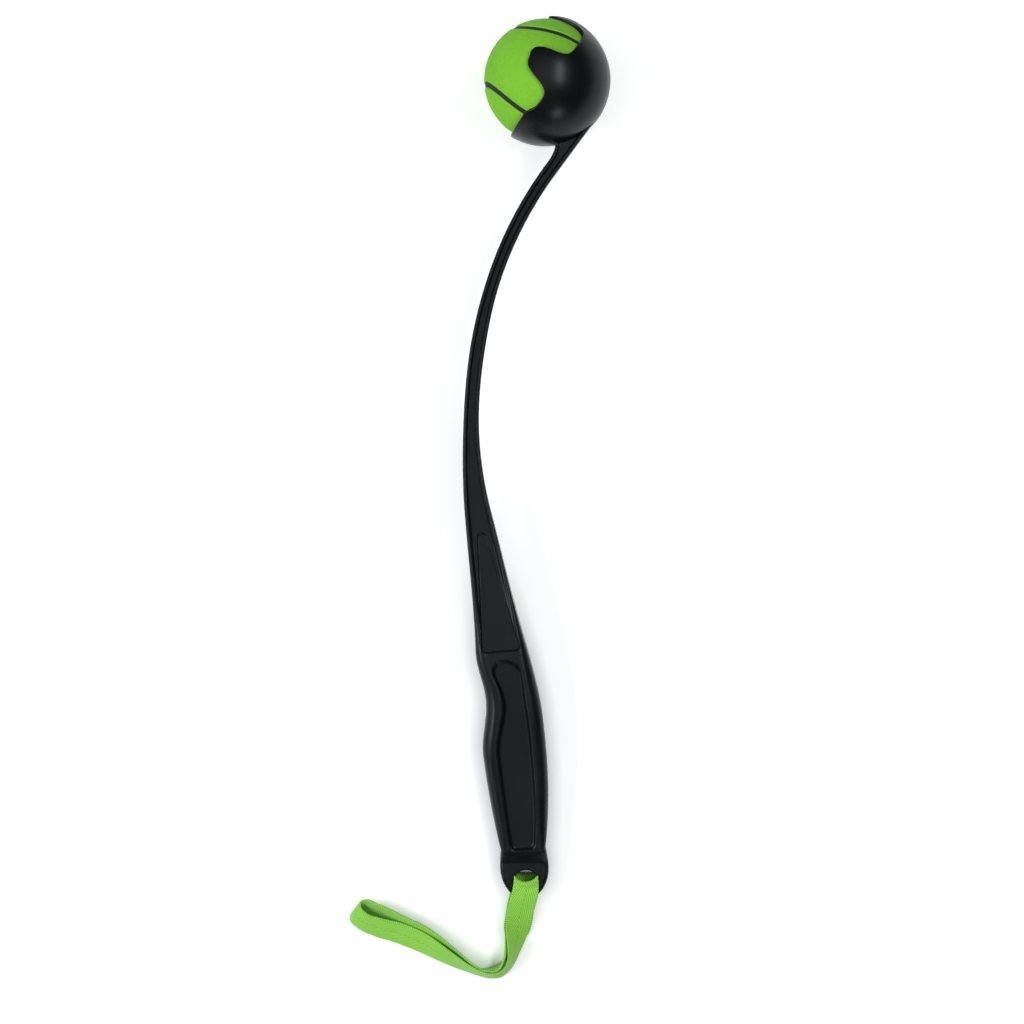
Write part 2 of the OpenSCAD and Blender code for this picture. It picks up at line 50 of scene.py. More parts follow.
Colour = tuple[float, float, float, float]
CurveRows = Sequence[tuple[float, float, float]]


class Body(Enum):
    """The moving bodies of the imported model."""

    LAUNCHER = "launcher"
    BALL = "ball"


class Slot(Enum):
    """Names of the record's material slots for the new pieces, which the script doesn't use."""

    PLASTIC = "stick_plastic"
    TAPE = "strap_tape"
    THREAD = "strap_thread"
    FELT = "ball_felt"


# Small helpers on numbers and meshes


def clamped(t: float) -> float:
    """A value kept between 0 and 1."""
    return min(max(t, 0.0), 1.0)


def smooth_step(t: float) -> float:
    """Eased step from 0 to 1 as t goes from 0 to 1."""
    t = clamped(t)
    return t * t * (3 - 2 * t)


def arc_step(t: float, aspect: float) -> float:
    """Step from 0 to 1 that is made of two equal arcs.

    Args:
        t: Place across the step, from 0 to 1.
        aspect: Width of the wall that has the step, over its height.

    Returns:
        The share of the height that is reached there.
    """
    t = clamped(t)
    if t > 0.5:
        return 1 - arc_step(1 - t, aspect)
    r = (aspect * aspect + 1) / 4
    return r - math.sqrt(r * r - (t * aspect) ** 2)


def quarter_round(size: float, t: float) -> float:
    """Fall of a quarter round of a size, as t goes from 0 at its start to 1 at its end."""
    return size * (1 - math.sqrt(1 - clamped(t) ** 2))


def soft_min(a: float, b: float, k: float) -> float:
    """Smaller of two values, blended over a width k."""
    return min(a, b) - max(k - abs(a - b), 0.0) ** 2 / (4 * k)


def through(rows: CurveRows, d: float) -> float:
    """Reads a smooth curve.

    Args:
        rows: Rows of distance, value and slope that the curve passes through.
        d: Distance at which it is read.

    Returns:
        The value there; beyond the rows, the value of the nearest one.
    """
    if d <= rows[0][0]:
        return rows[0][1]
    for a, b in zip(rows, rows[1:]):
        if d <= b[0]:
            w = b[0] - a[0]
            t = (d - a[0]) / w
            s = 1 - t
            level = a[1] * (1 + 2 * t) * s * s + b[1] * t * t * (3 - 2 * t)
            return level + w * (a[2] * t * s * s - b[2] * t * t * s)
    return rows[-1][1]


def span(start: float, stop: float, step: float) -> list[float]:
    """Even distances from start up to, and without, stop, about step apart."""
    count = max(1, round((stop - start) / step))
    return [start + (stop - start) * k / count for k in range(count)]


def on_sphere(arc: float, turn: float) -> Vector:
    """Direction at an arc from +Z and a turn about it, in radians."""
    return Vector((math.sin(arc) * math.cos(turn), math.sin(arc) * math.sin(turn), math.cos(arc)))


def skin(
    rings: np.ndarray, uvs: np.ndarray | None = None, wear_and_seam_shade: np.ndarray | None = None, caps: bool = True
) -> bmesh.types.BMesh:
    """Lays a grid over rings of points and welds it into a closed skin.

    Args:
        rings: Points as (ring, place in the ring, xyz); a ring's last point repeats its first.
        uvs: A map position for each point.
        wear_and_seam_shade: How worn the finish is at each point, from 0 to 1; on the felt, how much painted
            shade darkens it toward the seam.
        caps: Whether the open ends are filled.

    Returns:
        The mesh, with its faces outwards.
    """
    rows, columns = rings.shape[:2]
    bm = bmesh.new()
    worn_and_shaded = bm.verts.layers.float.new("wear_and_seam_shade")
    layer = bm.loops.layers.uv.new("UVMap")
    made = bmesh.ops.create_grid(bm, x_segments=columns - 1, y_segments=rows - 1, size=1.0)["verts"]
    flat = np.array([v.co[:2] for v in made])
    low, high = flat.min(0), flat.max(0)
    places = np.rint((flat - low) / (high - low) * (columns - 1, rows - 1)).astype(int)
    spot = {}
    for vert, (k, i) in zip(made, places):
        vert.co = rings[i, k]
        vert[worn_and_shaded] = 0.0 if wear_and_seam_shade is None else float(wear_and_seam_shade[i, k])
        spot[vert] = (i, k)
    if uvs is not None:
        for face in bm.faces:
            for loop in face.loops:
                loop[layer].uv = uvs[spot[loop.vert]]
    bmesh.ops.remove_doubles(bm, verts=bm.verts, dist=WELD)
    bmesh.ops.dissolve_degenerate(bm, edges=bm.edges, dist=WELD)
    if caps:
        bmesh.ops.holes_fill(bm, edges=[e for e in bm.edges if e.is_boundary], sides=0)
    bmesh.ops.recalc_face_normals(bm, faces=bm.faces)
    return bm


def as_object(bm: bmesh.types.BMesh, name: str, sharp: float = 45.0) -> bpy.types.Object:
    """Turns a finished mesh into an object in the scene.

    Args:
        bm: The mesh, which is freed.
        name: Name of the piece.
        sharp: Angle in degrees past which an edge shades as sharp.

    Returns:
        The new object, at the origin.
    """
    mesh = bpy.data.meshes.new(name)
    bm.to_mesh(mesh)
    bm.free()
    mesh.shade_smooth()
    mesh.set_sharp_from_angle(angle=math.radians(sharp))
    obj = bpy.data.objects.new(name, mesh)
    bpy.context.scene.collection.objects.link(obj)
    return obj


def seat(
    obj: bpy.types.Object, body: Body, material: bpy.types.Material, node: str
) -> bpy.types.Object:
    """Puts a piece on its body in its finish.

    Args:
        obj: The piece.
        body: Body that it moves with.
        material: The finish.
        node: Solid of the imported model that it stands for.

    Returns:
        The piece.
    """
    obj.data.materials.clear()
    obj.data.materials.append(material)
    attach(obj, body.value)
    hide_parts(node)
    LOG.info("%s: %d faces on %s", obj.name, len(obj.data.polygons), body.value)
    return obj


# Finishes


class Shader:
    """One material's nodes, built link by link."""

    def __init__(self, name: str) -> None:
        """Starts a material with its principled shader.

        Args:
            name: Name of the material.
        """
        self.material = bpy.data.materials.new(name)
        self.material.use_nodes = True
        self.tree = self.material.node_tree
        self.bsdf = self.tree.nodes["Principled BSDF"]

    def feed(self, socket: bpy.types.NodeSocket, value: object) -> None:
        """Links a socket to another, or sets it to a value.

        Args:
            socket: The socket that is fed.
            value: Another node's socket, or a plain value.
        """
        if isinstance(value, bpy.types.NodeSocket):
            self.tree.links.new(value, socket)
        else:
            socket.default_value = value

    def fill(self, node: bpy.types.Node, values: dict[str, object]) -> bpy.types.Node:
        """Feeds several sockets of a node.

        Args:
            node: The node.
            values: What each socket gets, by the socket's name with _ for a space.

        Returns:
            The node.
        """
        for name, value in values.items():
            self.feed(node.inputs[name.replace("_", " ")], value)
        return node

    def put(self, **values: object) -> None:
        """Feeds the principled shader's sockets, named with _ for a space."""
        self.fill(self.bsdf, values)

    def node(self, kind: str, **values: object) -> bpy.types.Node:
        """Adds a node of a kind and feeds its sockets, named with _ for a space."""
        return self.fill(self.tree.nodes.new("ShaderNode" + kind), values)

    def coords(self, output: str = "Object") -> bpy.types.NodeSocket:
        """One of the texture coordinates."""
        return self.node("TexCoord").outputs[output]

    def attribute(self, name: str) -> bpy.types.NodeSocket:
        """Reads a value that is stored on the mesh.

        Args:
            name: Name of the attribute.

        Returns:
            The value.
        """
        node = self.node("Attribute")
        node.attribute_name = name
        return node.outputs["Fac"]

    def stretched(self, vector: object, scale: tuple[float, float, float]) -> bpy.types.NodeSocket:
        """A vector scaled along each axis."""
        return self.node("Mapping", Vector=vector, Scale=scale).outputs["Vector"]

    def split(self, vector: object) -> Sequence[bpy.types.NodeSocket]:
        """The three parts of a vector."""
        return self.node("SeparateXYZ", Vector=vector).outputs

    def math(self, operation: str, a: object, b: object = 0.0) -> bpy.types.NodeSocket:
        """Works out one sum.

        Args:
            operation: Name of the sum.
            a: First value.
            b: Second value, for a sum that has one.

        Returns:
            The result.
        """
        node = self.node("Math")
        node.operation = operation
        self.feed(node.inputs[0], a)
        self.feed(node.inputs[1], b)
        return node.outputs[0]

    def times(self, a: object, b: object) -> bpy.types.NodeSocket:
        """Product of two values."""
        return self.math("MULTIPLY", a, b)

    def scaled(self, value: object, factor: float, offset: float = 0.0) -> bpy.types.NodeSocket:
        """A value times a factor, plus an offset."""
        return self.math("ADD", self.times(value, factor), offset)

    def crests(self, angle: object) -> bpy.types.NodeSocket:
        """Sine of an angle, between 0 and 1."""
        return self.scaled(self.math("SINE", angle), 0.5, 0.5)

    def wave(self, value: object, pitch: float) -> bpy.types.NodeSocket:
        """Sine wave between 0 and 1 along a value, with its crests a pitch apart."""
        return self.crests(self.times(value, 2 * math.pi / pitch))

    def noise(
        self, vector: object, scale: float, detail: float = 2.0, rough: float = 0.5
    ) -> bpy.types.NodeSocket:
        """Cloudy noise, in spots of about 1 / scale metres."""
        node = self.node("TexNoise", Vector=vector, Scale=scale, Detail=detail, Roughness=rough)
        return node.outputs["Fac"]

    def step(self, value: object, low: float, high: float) -> bpy.types.NodeSocket:
        """Eases a value into a step.

        Args:
            value: The value.
            low: Where the step begins.
            high: Where it ends.

        Returns:
            A value from 0 to 1.
        """
        node = self.node("MapRange", Value=value, From_Min=low, From_Max=high)
        node.interpolation_type = "SMOOTHSTEP"
        return node.outputs["Result"]

    def mix(self, factor: object, a: object, b: object) -> bpy.types.NodeSocket:
        """Blends two colours.

        Args:
            factor: Share of the second colour.
            a: First colour.
            b: Second colour.

        Returns:
            The blend.
        """
        node = self.node("Mix")
        node.data_type = "RGBA"
        for index, value in ((0, factor), (6, a), (7, b)):
            self.feed(node.inputs[index], value)
        return node.outputs[2]

    def bump(
        self, height: object, distance: float, strength: float, under: object = None
    ) -> bpy.types.NodeSocket:
        """Makes surface relief of a height map.

        Args:
            height: The height map, from 0 to 1.
            distance: Depth of the relief in metres.
            strength: How strongly it shows.
            under: Another relief that it lies over.

        Returns:
            The normal.
        """
        node = self.node("Bump", Height=height, Distance=distance, Strength=strength)
        if under is not None:
            self.feed(node.inputs["Normal"], under)
        return node.outputs["Normal"]


@dataclass(frozen=True)
class MouldedPlastic:
    """Satin dark plastic with a fine moulded grain, rubbed along its edges. Spots are counted per metre."""

    colour: Colour = (0.0042, 0.0050, 0.0055, 1)
    haze: Colour = (0.0060, 0.0070, 0.0076, 1)
    rubbed: Colour = (0.016, 0.019, 0.021, 1)
    roughness: float = 0.29
    specular: float = 0.14
    grain: float = 2600.0
    grain_depth: float = 0.00003
    clouds: float = 38.0
    cloud_depth: float = 0.0002
    cloud_rough: float = 0.06
    flow_lines: float = 260.0
    flow_stretch: float = 0.12
    flow_rough: float = 0.1
    rub_spots: float = 420.0
    rub_polish: float = 0.06

    def material(self) -> bpy.types.Material:
        """Builds the finish.

        Returns:
            The material.
        """
        s = Shader("satin_moulded_plastic")
        place = s.coords()
        cloud = s.noise(place, self.clouds, 4)
        fine = s.noise(place, self.grain, 2, 0.6)
        flow = s.noise(s.stretched(place, (1, self.flow_stretch, 1)), self.flow_lines, 3)
        # On the moulding the stored value is only rubbed wear; the painted seam shade is on the felt.
        worn_and_shaded = s.times(s.attribute("wear_and_seam_shade"), s.step(s.noise(place, self.rub_spots, 3), 0.3, 0.75))
        body = s.mix(s.step(cloud, 0.3, 0.7), self.colour, self.haze)
        s.put(Base_Color=s.mix(worn_and_shaded, body, self.rubbed), Specular_IOR_Level=self.specular)
        streaked = s.scaled(flow, self.flow_rough, self.roughness - self.flow_rough / 2)
        rough = s.math("ADD", streaked, s.scaled(cloud, self.cloud_rough, -self.cloud_rough / 2))
        s.put(Roughness=s.math("SUBTRACT", rough, s.times(worn_and_shaded, self.rub_polish)))
        s.put(Normal=s.bump(fine, self.grain_depth, 0.35, s.bump(cloud, self.cloud_depth, 0.15)))
        return s.material


@dataclass(frozen=True)
class NappedFelt:
    """Woven felt with a short brushed nap, darkened by painted shade where it rolls into the seam. Spots are
    counted per metre.
    """

    colour: Colour = (0.198, 0.510, 0.035, 1)
    shade: Colour = (0.172, 0.468, 0.029, 1)
    tips: Colour = (0.265, 0.585, 0.066, 1)
    sheen: Colour = (0.62, 0.95, 0.42, 1)
    nap: float = 2600.0
    nap_comb: tuple[float, float, float] = (1, 0.35, 0.6)
    nap_depth: float = 0.00025
    tufts: float = 520.0
    tuft_depth: float = 0.0004
    patches: float = 55.0
    painted_seam_shade: float = 0.55

    def material(self) -> bpy.types.Material:
        """Builds the finish.

        Returns:
            The material.
        """
        s = Shader("napped_green_felt")
        place = s.coords()
        tufts = s.noise(place, self.tufts, 5, 0.65)
        fibres = s.noise(s.stretched(place, self.nap_comb), self.nap, 3, 0.6)
        patches = s.step(s.noise(place, self.patches, 3), 0.2, 0.8)
        deep = s.mix(s.step(tufts, 0.25, 0.62), self.shade, self.colour)
        light = s.mix(s.times(s.step(fibres, 0.5, 0.8), patches), deep, self.tips)
        # Painted shade: the felt darkens toward the seam, where its plump edge rolls down into the groove.
        s.put(Base_Color=s.mix(s.times(s.attribute("wear_and_seam_shade"), self.painted_seam_shade), light, self.shade))
        s.put(Roughness=0.95, Specular_IOR_Level=0.12)
        s.put(Sheen_Weight=0.2, Sheen_Roughness=0.4, Sheen_Tint=self.sheen)
        s.put(Normal=s.bump(fibres, self.nap_depth, 0.5, s.bump(tufts, self.tuft_depth, 0.25)))
        return s.material


@dataclass(frozen=True)
class TwillTape:
    """Herringbone twill: ribs that lean from the middle of the tape to both selvedges.

    Sizes are in metres and degrees, and spots are counted per metre.
    """

    colour: Colour = (0.278, 0.660, 0.072, 1)
    # groove is painted shade in the weave's grooves; lit is a painted highlight on its rib tops.
    groove: Colour = (0.145, 0.425, 0.032, 1)
    lit: Colour = (0.370, 0.780, 0.110, 1)
    rib: float = 0.0011
    rib_depth: float = 0.00016
    lean: float = 24.0
    float_length: float = 0.00075
    half_width: float = 0.0075
    selvedge: tuple[float, float] = (0.0011, 0.0007)
    knot: float = 0.0011
    spine: tuple[float, float] = (0.0005, 0.00015)
    yarn: float = 3200.0
    yarn_depth: float = 0.00006
    dye_spots: float = 120.0

    def material(self) -> bpy.types.Material:
        """Builds the finish on the tape's own map, in metres along and across it.

        Returns:
            The material.
        """
        s = Shader("herringbone_twill_tape")
        along, offset, _ = s.split(s.coords("UV"))
        across = s.math("ABSOLUTE", offset)
        sine, cosine = math.sin(math.radians(self.lean)), math.cos(math.radians(self.lean))
        over = s.math("SUBTRACT", s.times(across, cosine), s.times(along, sine))
        down = s.math("ADD", s.times(across, sine), s.times(along, cosine))
        rib, bead = s.wave(over, self.rib), s.wave(down, self.float_length)
        edge = s.step(across, *(self.half_width - inset for inset in self.selvedge))
        weave = s.times(s.math("POWER", rib, 0.6), s.scaled(bead, 0.35, 0.65))
        woven = s.math("SUBTRACT", weave, s.times(s.step(across, *self.spine), 0.25))
        knots = s.times(s.wave(along, self.knot), edge)
        height = s.math("ADD", s.times(woven, s.scaled(edge, -1, 1)), knots)
        yarn = s.noise(s.coords("UV"), self.yarn, 3)
        dye = s.step(s.noise(s.coords(), self.dye_spots, 3), 0.3, 0.75)
        # Painted shade darkens the weave's grooves and a painted highlight lightens its rib tops.
        body = s.mix(s.step(height, 0.1, 0.55), self.groove, self.colour)
        weave_painted_light = s.mix(s.times(s.step(height, 0.6, 1.0), s.step(yarn, 0.3, 0.7)), body, self.lit)
        s.put(Base_Color=s.mix(s.scaled(dye, 0.18), weave_painted_light, self.colour))
        s.put(Roughness=s.scaled(yarn, 0.2, 0.68), Specular_IOR_Level=0.25)
        s.put(Sheen_Weight=0.2, Sheen_Roughness=0.45)
        s.put(Normal=s.bump(yarn, self.yarn_depth, 0.4, s.bump(height, self.rib_depth, 0.9)))
        return s.material


@dataclass(frozen=True)
class SewingThread:
    """Two-ply polyester thread. Sizes are in metres, and spots are counted per metre."""

    colour: Colour = (0.300, 0.690, 0.110, 1)
    groove: Colour = (0.120, 0.360, 0.035, 1)
    plies: int = 2
    pitch: float = 0.0006
    ply_depth: float = 0.00005
    fibres: float = 6000.0

    def material(self) -> bpy.types.Material:
        """Builds the finish on the thread's own map.

        Returns:
            The material.
        """
        s = Shader("two_ply_sewing_thread")
        along, around, _ = s.split(s.coords("UV"))
        wound = s.times(around, 2 * math.pi * self.plies)
        ply = s.crests(s.math("ADD", s.times(along, 2 * math.pi / self.pitch), wound))
        # Painted shade darkens the grooves between the plies.
        s.put(Base_Color=s.mix(s.step(ply, 0.05, 0.6), self.groove, self.colour))
        s.put(Roughness=s.scaled(s.noise(s.coords(), self.fibres), 0.3, 0.4), Sheen_Weight=0.15)
        s.put(Normal=s.bump(ply, self.ply_depth, 0.9))
        return s.material


@dataclass(frozen=True)
class BallRubber:
    """Moulded rubber of the hollow core. Spots are counted per metre."""

    colour: Colour = (0.030, 0.034, 0.030, 1)
    bloom: Colour = (0.060, 0.066, 0.058, 1)
    bloom_spots: float = 140.0
    grain: float = 1800.0
    grain_depth: float = 0.00008

    def material(self) -> bpy.types.Material:
        """Builds the finish.

        Returns:
            The material.
        """
        s = Shader("moulded_ball_rubber")
        place = s.coords()
        bloom = s.noise(place, self.bloom_spots, 4)
        s.put(Base_Color=s.mix(s.step(bloom, 0.4, 0.8), self.colour, self.bloom))
        s.put(Roughness=s.scaled(bloom, 0.25, 0.55))
        s.put(Normal=s.bump(s.noise(place, self.grain, 3), self.grain_depth, 0.5))
        return s.material


@dataclass(frozen=True)
class SeamCement:
    """Cured cement in the seam, with lint of the felt pressed into it. Spots are counted per metre."""

    colour: Colour = (0.014, 0.018, 0.014, 1)
    lint: Colour = (0.038, 0.074, 0.028, 1)
    lint_spots: float = 900.0
    lint_depth: float = 0.0002

    def material(self) -> bpy.types.Material:
        """Builds the finish.

        Returns:
            The material.
        """
        s = Shader("cured_seam_cement")
        lint = s.noise(s.coords(), self.lint_spots, 4, 0.65)
        s.put(Base_Color=s.mix(s.step(lint, 0.5, 0.8), self.colour, self.lint))
        s.put(Roughness=s.scaled(lint, 0.2, 0.68), Specular_IOR_Level=0.3)
        s.put(Normal=s.bump(lint, self.lint_depth, 0.6))
        return s.material


# Camera, floor and light


@dataclass
class Softbox:
    """One soft lamp. Places and sizes are in metres, its power in watts."""

    name: str
    place: tuple[float, float, float]
    size: tuple[float, float]
    power: float
    colour: tuple[float, float, float] = (1.0, 1.0, 1.0)
    aim: tuple[float, float, float] = (0.0, 0.0, 0.0)

    def build(self) -> None:
        """Hangs the lamp."""
        lamp = bpy.data.lights.new(self.name, "AREA")
        lamp.shape = "RECTANGLE"
        lamp.size, lamp.size_y = self.size
        lamp.energy = self.power
        lamp.color = self.colour
        obj = bpy.data.objects.new(self.name, lamp)
        obj.location = self.place
        obj.rotation_euler = (Vector(self.aim) - Vector(self.place)).to_track_quat("-Z", "Y").to_euler()
        bpy.context.scene.collection.objects.link(obj)


@dataclass
class Studio:
    """Plain pale floor, soft light and a camera that looks straight down."""

    camera_place: tuple[float, float, float] = (-0.013030, -0.027245, 1.350)
    focal_pixels: float = 2468.4
    image_pixels: float = 1024.0
    sensor: float = 36.0
    floor_half: float = 6.0
    floor_drop: float = 0.0003
    floor_colour: Colour = (0.84, 0.84, 0.84, 1)
    floor_glow: float = 0.44
    contact_reach: float = 0.010
    contact_fall: float = 1.5
    contact_samples: int = 6
    sky_low: Colour = (0.16, 0.17, 0.18, 1)
    sky_middle: Colour = (0.03, 0.03, 0.033, 1)
    sky_high: Colour = (1.12, 1.16, 1.20, 1)
    sky_stops: tuple[float, float, float, float] = (0.03, 0.25, 0.82, 0.98)
    lamps: list[Softbox] = field(default_factory=lambda: [
        Softbox("key_left", (-1.35, -0.15, 1.25), (0.9, 0.55), 18, (0.95, 0.99, 1.0)),
        Softbox("softbox_left", (-1.7, -0.3, 0.62), (1.8, 0.35), 7, (0.95, 0.99, 1.0)),
        Softbox("strip_above", (0.62, 0.36, 1.35), (0.9, 0.2), 9.5, aim=(0.0, 0.36, 0.0)),
        Softbox("spot_front", (0.60, -1.50, 0.62), (0.4, 0.4), 4.5),
    ])

    def build(self) -> None:
        """Sets up the camera, the floor, the surroundings and the lamps."""
        scene = bpy.context.scene
        scene.view_settings.view_transform = "Standard"
        camera = bpy.data.cameras.new("camera")
        camera.sensor_width = self.sensor
        camera.lens = self.focal_pixels / self.image_pixels * self.sensor
        view = bpy.data.objects.new("camera", camera)
        view.location = self.camera_place
        scene.collection.objects.link(view)
        scene.camera = view
        self.build_floor()
        self.build_sky(scene)
        for lamp in self.lamps:
            lamp.build()
        LOG.info("studio: camera at %s, %d lamps", self.camera_place, len(self.lamps))

    def build_floor(self) -> None:
        """Lays the floor, which shows white and keeps the shadow; ambient occlusion dims its glow in narrow
        gaps and near things as painted contact shade.
        """
        bm = bmesh.new()
        bmesh.ops.create_grid(bm, x_segments=1, y_segments=1, size=self.floor_half)
        bmesh.ops.translate(bm, verts=bm.verts, vec=(0, 0, -self.floor_drop))
        floor = as_object(bm, "floor")
        s = Shader("pale_floor")
        s.put(Base_Color=self.floor_colour, Roughness=0.9, Specular_IOR_Level=0.0)
        path = s.node("LightPath").outputs
        mirrored = s.math("MAXIMUM", path["Is Glossy Ray"], path["Is Transmission Ray"])
        seen = s.math("MAXIMUM", path["Is Camera Ray"], mirrored)
        # Painted contact shade: ambient occlusion dims the floor's glow under and between things.
        near = s.node("AmbientOcclusion", Distance=self.contact_reach)
        near.samples = self.contact_samples
        unshaded_share = s.math("POWER", near.outputs["AO"], self.contact_fall)
        s.put(Emission_Color=(1, 1, 1, 1))
        s.put(Emission_Strength=s.times(s.times(seen, unshaded_share), self.floor_glow))
        floor.data.materials.append(s.material)

    def build_sky(self, scene: bpy.types.Scene) -> None:
        """Lights the surroundings: pale overhead, faint at the horizon and dim between.

        Args:
            scene: The scene that gets the surroundings.
        """
        world = bpy.data.worlds.new("studio")
        world.use_nodes = True
        scene.world = world
        nodes, links = world.node_tree.nodes, world.node_tree.links
        split = nodes.new("ShaderNodeSeparateXYZ")
        links.new(nodes.new("ShaderNodeTexCoord").outputs["Generated"], split.inputs[0])
        ramp = nodes.new("ShaderNodeValToRGB")
        ramp.color_ramp.interpolation = "EASE"
        stops = ramp.color_ramp.elements
        stops[0].position, stops[0].color = self.sky_stops[0], self.sky_low
        stops[1].position, stops[1].color = self.sky_stops[3], self.sky_high
        for place in self.sky_stops[1:3]:
            stops.new(place).color = self.sky_middle
        links.new(split.outputs[2], ramp.inputs[0])
        links.new(ramp.outputs[0], nodes["Background"].inputs["Color"])


# The stick


@dataclass
class LauncherStick:
    """One-piece moulding: claw cup, I-section arm, waved handle and eyed knob.

    The moulding is drawn in its own mid-plane about the cup's centre, then laid on its side on the floor.
    Sizes are in metres and degrees.
    """

    # Cup
    ball_r: float = 0.0325
    cup_gap: float = 0.00025
    cup_wall: float = 0.0021
    mouth_dir: float = 144.0
    rim_angle: float = 97.5
    notch_drop: float = 3.0
    top_reach: float = 41.0
    top_half: float = 20.5
    side_reach: float = 31.0
    side_half: float = 14.3
    side_lean: float = 6.2
    lip_reach: float = 6.5
    lip_half: float = 56.0
    tongue_ease: float = 3.1
    lip_softer: float = 1.5
    top_softer: float = 1.6
    rim_round: float = 0.0005
    tip_thin: float = 0.001
    tip_span: float = 26.0
    tip_ease: float = 10.0
    # Arm
    arm_lean: float = 36.5
    arm_sink: float = 0.0043
    arm_run: float = 0.0365
    bend_r: float = 0.207
    bend_turn: float = 23.5
    sweep_r: float = 0.277
    sweep_turn: float = 22.6
    arm_t: float = 0.0072
    arm_w: float = 0.014
    arm_swell: float = 0.0004
    flange_t: float = 0.0015
    fillet_w: float = 0.0011
    channel_depth: float = 0.0022
    root_fillet: float = 0.0065
    root_len: float = 0.0125
    root_early: float = 0.001
    root_clear: float = 0.0006
    flat_least: float = 0.0001
    round_share: float = 0.7
    flare_lead: float = 0.040
    # Handle
    flare_run: float = 0.0595
    flare_rise: float = 0.062
    flare_ease: float = 0.0015
    thicken_lead: float = 0.024
    grip_run: float = 0.122
    grip_turn: float = 5.9
    flare_w: float = 0.0144
    top_w: float = 0.0252
    grip_w: float = 0.0346
    neck_w: float = 0.0242
    neck_t: float = 0.018
    flank_over: float = 0.001
    flank_ease: float = 0.003
    belly_drop: float = 0.054
    groove_drop: float = 0.0405
    groove_depth: float = 0.0047
    groove_half: float = 0.0295
    grip_round: float = 0.0066
    # Bare panel and grip recess
    panel_drop: float = 0.009
    panel_len: float = 0.064
    panel_top_w: float = 0.005
    panel_end_w: float = 0.0196
    panel_round: float = 0.0022
    panel_depth: float = 0.0010
    panel_wall: float = 0.0009
    panel_skew: float = 0.073
    recess_drop: float = 0.019
    recess_margin: float = 0.0083
    recess_ends: float = 0.0062
    recess_wave: float = 0.35
    recess_depth: float = 0.0017
    recess_round: float = 0.008
    recess_wall: float = 0.0028
    recess_end_ease: float = 0.003
    recess_least: float = 0.001
    relief_reach: float = 0.003
    # Knob and strap eye
    knob_w: float = 0.0264
    knob_t: float = 0.010
    knob_rise: float = 0.011
    knob_step: float = 0.0075
    knob_len: float = 0.0175
    knob_round: float = 0.0024
    eye_d: float = 0.013
    eye_drop: float = 0.0187
    eye_side: float = 0.0004
    eye_lip: float = 0.0006
    plug_flare: float = 0.004
    # Spacing of the points, and wear
    side_counts: tuple[int, ...] = (7, 6, 5, 5, 2)
    side_marks: tuple[float, float] = (0.08, 0.97)
    mark_gap: float = 0.004
    mark_blend: float = 0.001
    arch_least: float = 0.16
    edge_steps: int = 8
    wall_steps: int = 3
    butt_steps: int = 30
    butt_turn: float = 89.4
    cup_turns: int = 320
    cup_rows: int = 40
    lining_rows: int = 24
    rim_steps: int = 5
    slope_reach: float = 0.3
    eye_steps: int = 96
    edge_least: float = 0.0003
    edge_wear: float = 0.35
    edge_wear_w: float = 0.0012
    worn_round: float = 0.003
    grip_wear: float = 0.3
    lining_wear: float = 0.5

    def __post_init__(self) -> None:
        """Works out the distances along the axis, the curves along it and how the stick lies."""
        self.cup_in = self.ball_r + self.cup_gap
        self.cup_r = self.cup_in + self.cup_wall
        bend, sweep = math.radians(self.bend_turn), math.radians(self.sweep_turn)
        self.d_sweep = self.arm_run + self.bend_r * bend
        self.d_flare = self.d_sweep + self.sweep_r * sweep
        self.d_grip = self.d_flare + self.flare_run
        self.d_neck = self.d_grip + self.grip_run
        self.d_knob = self.d_neck + self.knob_rise
        self.d_end = self.d_knob + self.knob_len
        self.belly_at = self.d_grip + self.belly_drop
        self.groove_at = self.d_grip + self.groove_drop
        self.panel_from = self.d_flare + self.panel_drop
        self.panel_to = self.panel_from + self.panel_len
        self.recess_from = self.d_grip + self.recess_drop
        self.recess_to = self.d_neck
        self.runs = [
            (self.arm_run, 0.0),
            (self.bend_r * bend, bend),
            (self.sweep_r * sweep, sweep),
            (self.flare_run, 0.0),
            (self.grip_run, -math.radians(self.grip_turn)),
            (self.knob_rise + self.knob_len, 0.0),
        ]
        self.arm_foot = self.cup_r - self.arm_sink
        self.root_from = math.sqrt(self.cup_r**2 - (self.arm_foot - self.arm_t / 2) ** 2) - self.root_early
        self.set_curves()
        self.lay_down()

    def set_curves(self) -> None:
        """Sets the curves along the axis, each as rows of distance, value and slope."""
        self.body_rows = [
            (0, self.arm_t / 2, 0),
            (self.d_sweep - 0.020, self.arm_t / 2, 0),
            (self.d_sweep + 0.020, self.arm_t / 2 + self.arm_swell, 0),
            (self.d_flare - self.flare_lead, self.arm_t / 2 + 0.0009, 0.045),
            (self.d_flare, self.flare_w / 2, 0.085),
            (self.d_grip + 0.004, self.top_w / 2, 0.12),
            (self.belly_at, self.grip_w / 2, 0),
            (self.d_neck, self.neck_w / 2, -0.19),
        ]
        self.knob_rows = [(self.d_neck, self.neck_w / 2, 0.1), (self.d_knob, self.knob_w / 2, 0)]
        self.round_rows = [
            (0, 0.0009, 0),
            (self.d_flare, 0.0011, 0),
            (self.d_grip - 0.010, 0.0016, 0.05),
            (self.d_grip + 0.040, self.grip_round, 0),
            (self.d_neck - 0.020, self.grip_round, 0),
            (self.d_neck + 0.006, self.knob_round, 0),
        ]
        self.channel_rows = [
            (0, self.channel_depth, 0),
            (self.d_flare, self.channel_depth, -0.005),
            (self.d_grip + 0.034, 0, 0),
        ]
        self.fillet_rows = [
            (0, self.fillet_w, 0),
            (self.d_flare - self.flare_lead, self.fillet_w, 0),
            (self.d_grip, self.fillet_w + 0.001, 0),
        ]
        self.margin_rows = [
            (self.recess_from, self.recess_ends, 0),
            (self.recess_from + 0.028, self.recess_margin, 0),
            (self.belly_at + 0.012, self.recess_margin, 0),
            (self.recess_to, self.recess_ends, -0.05),
        ]

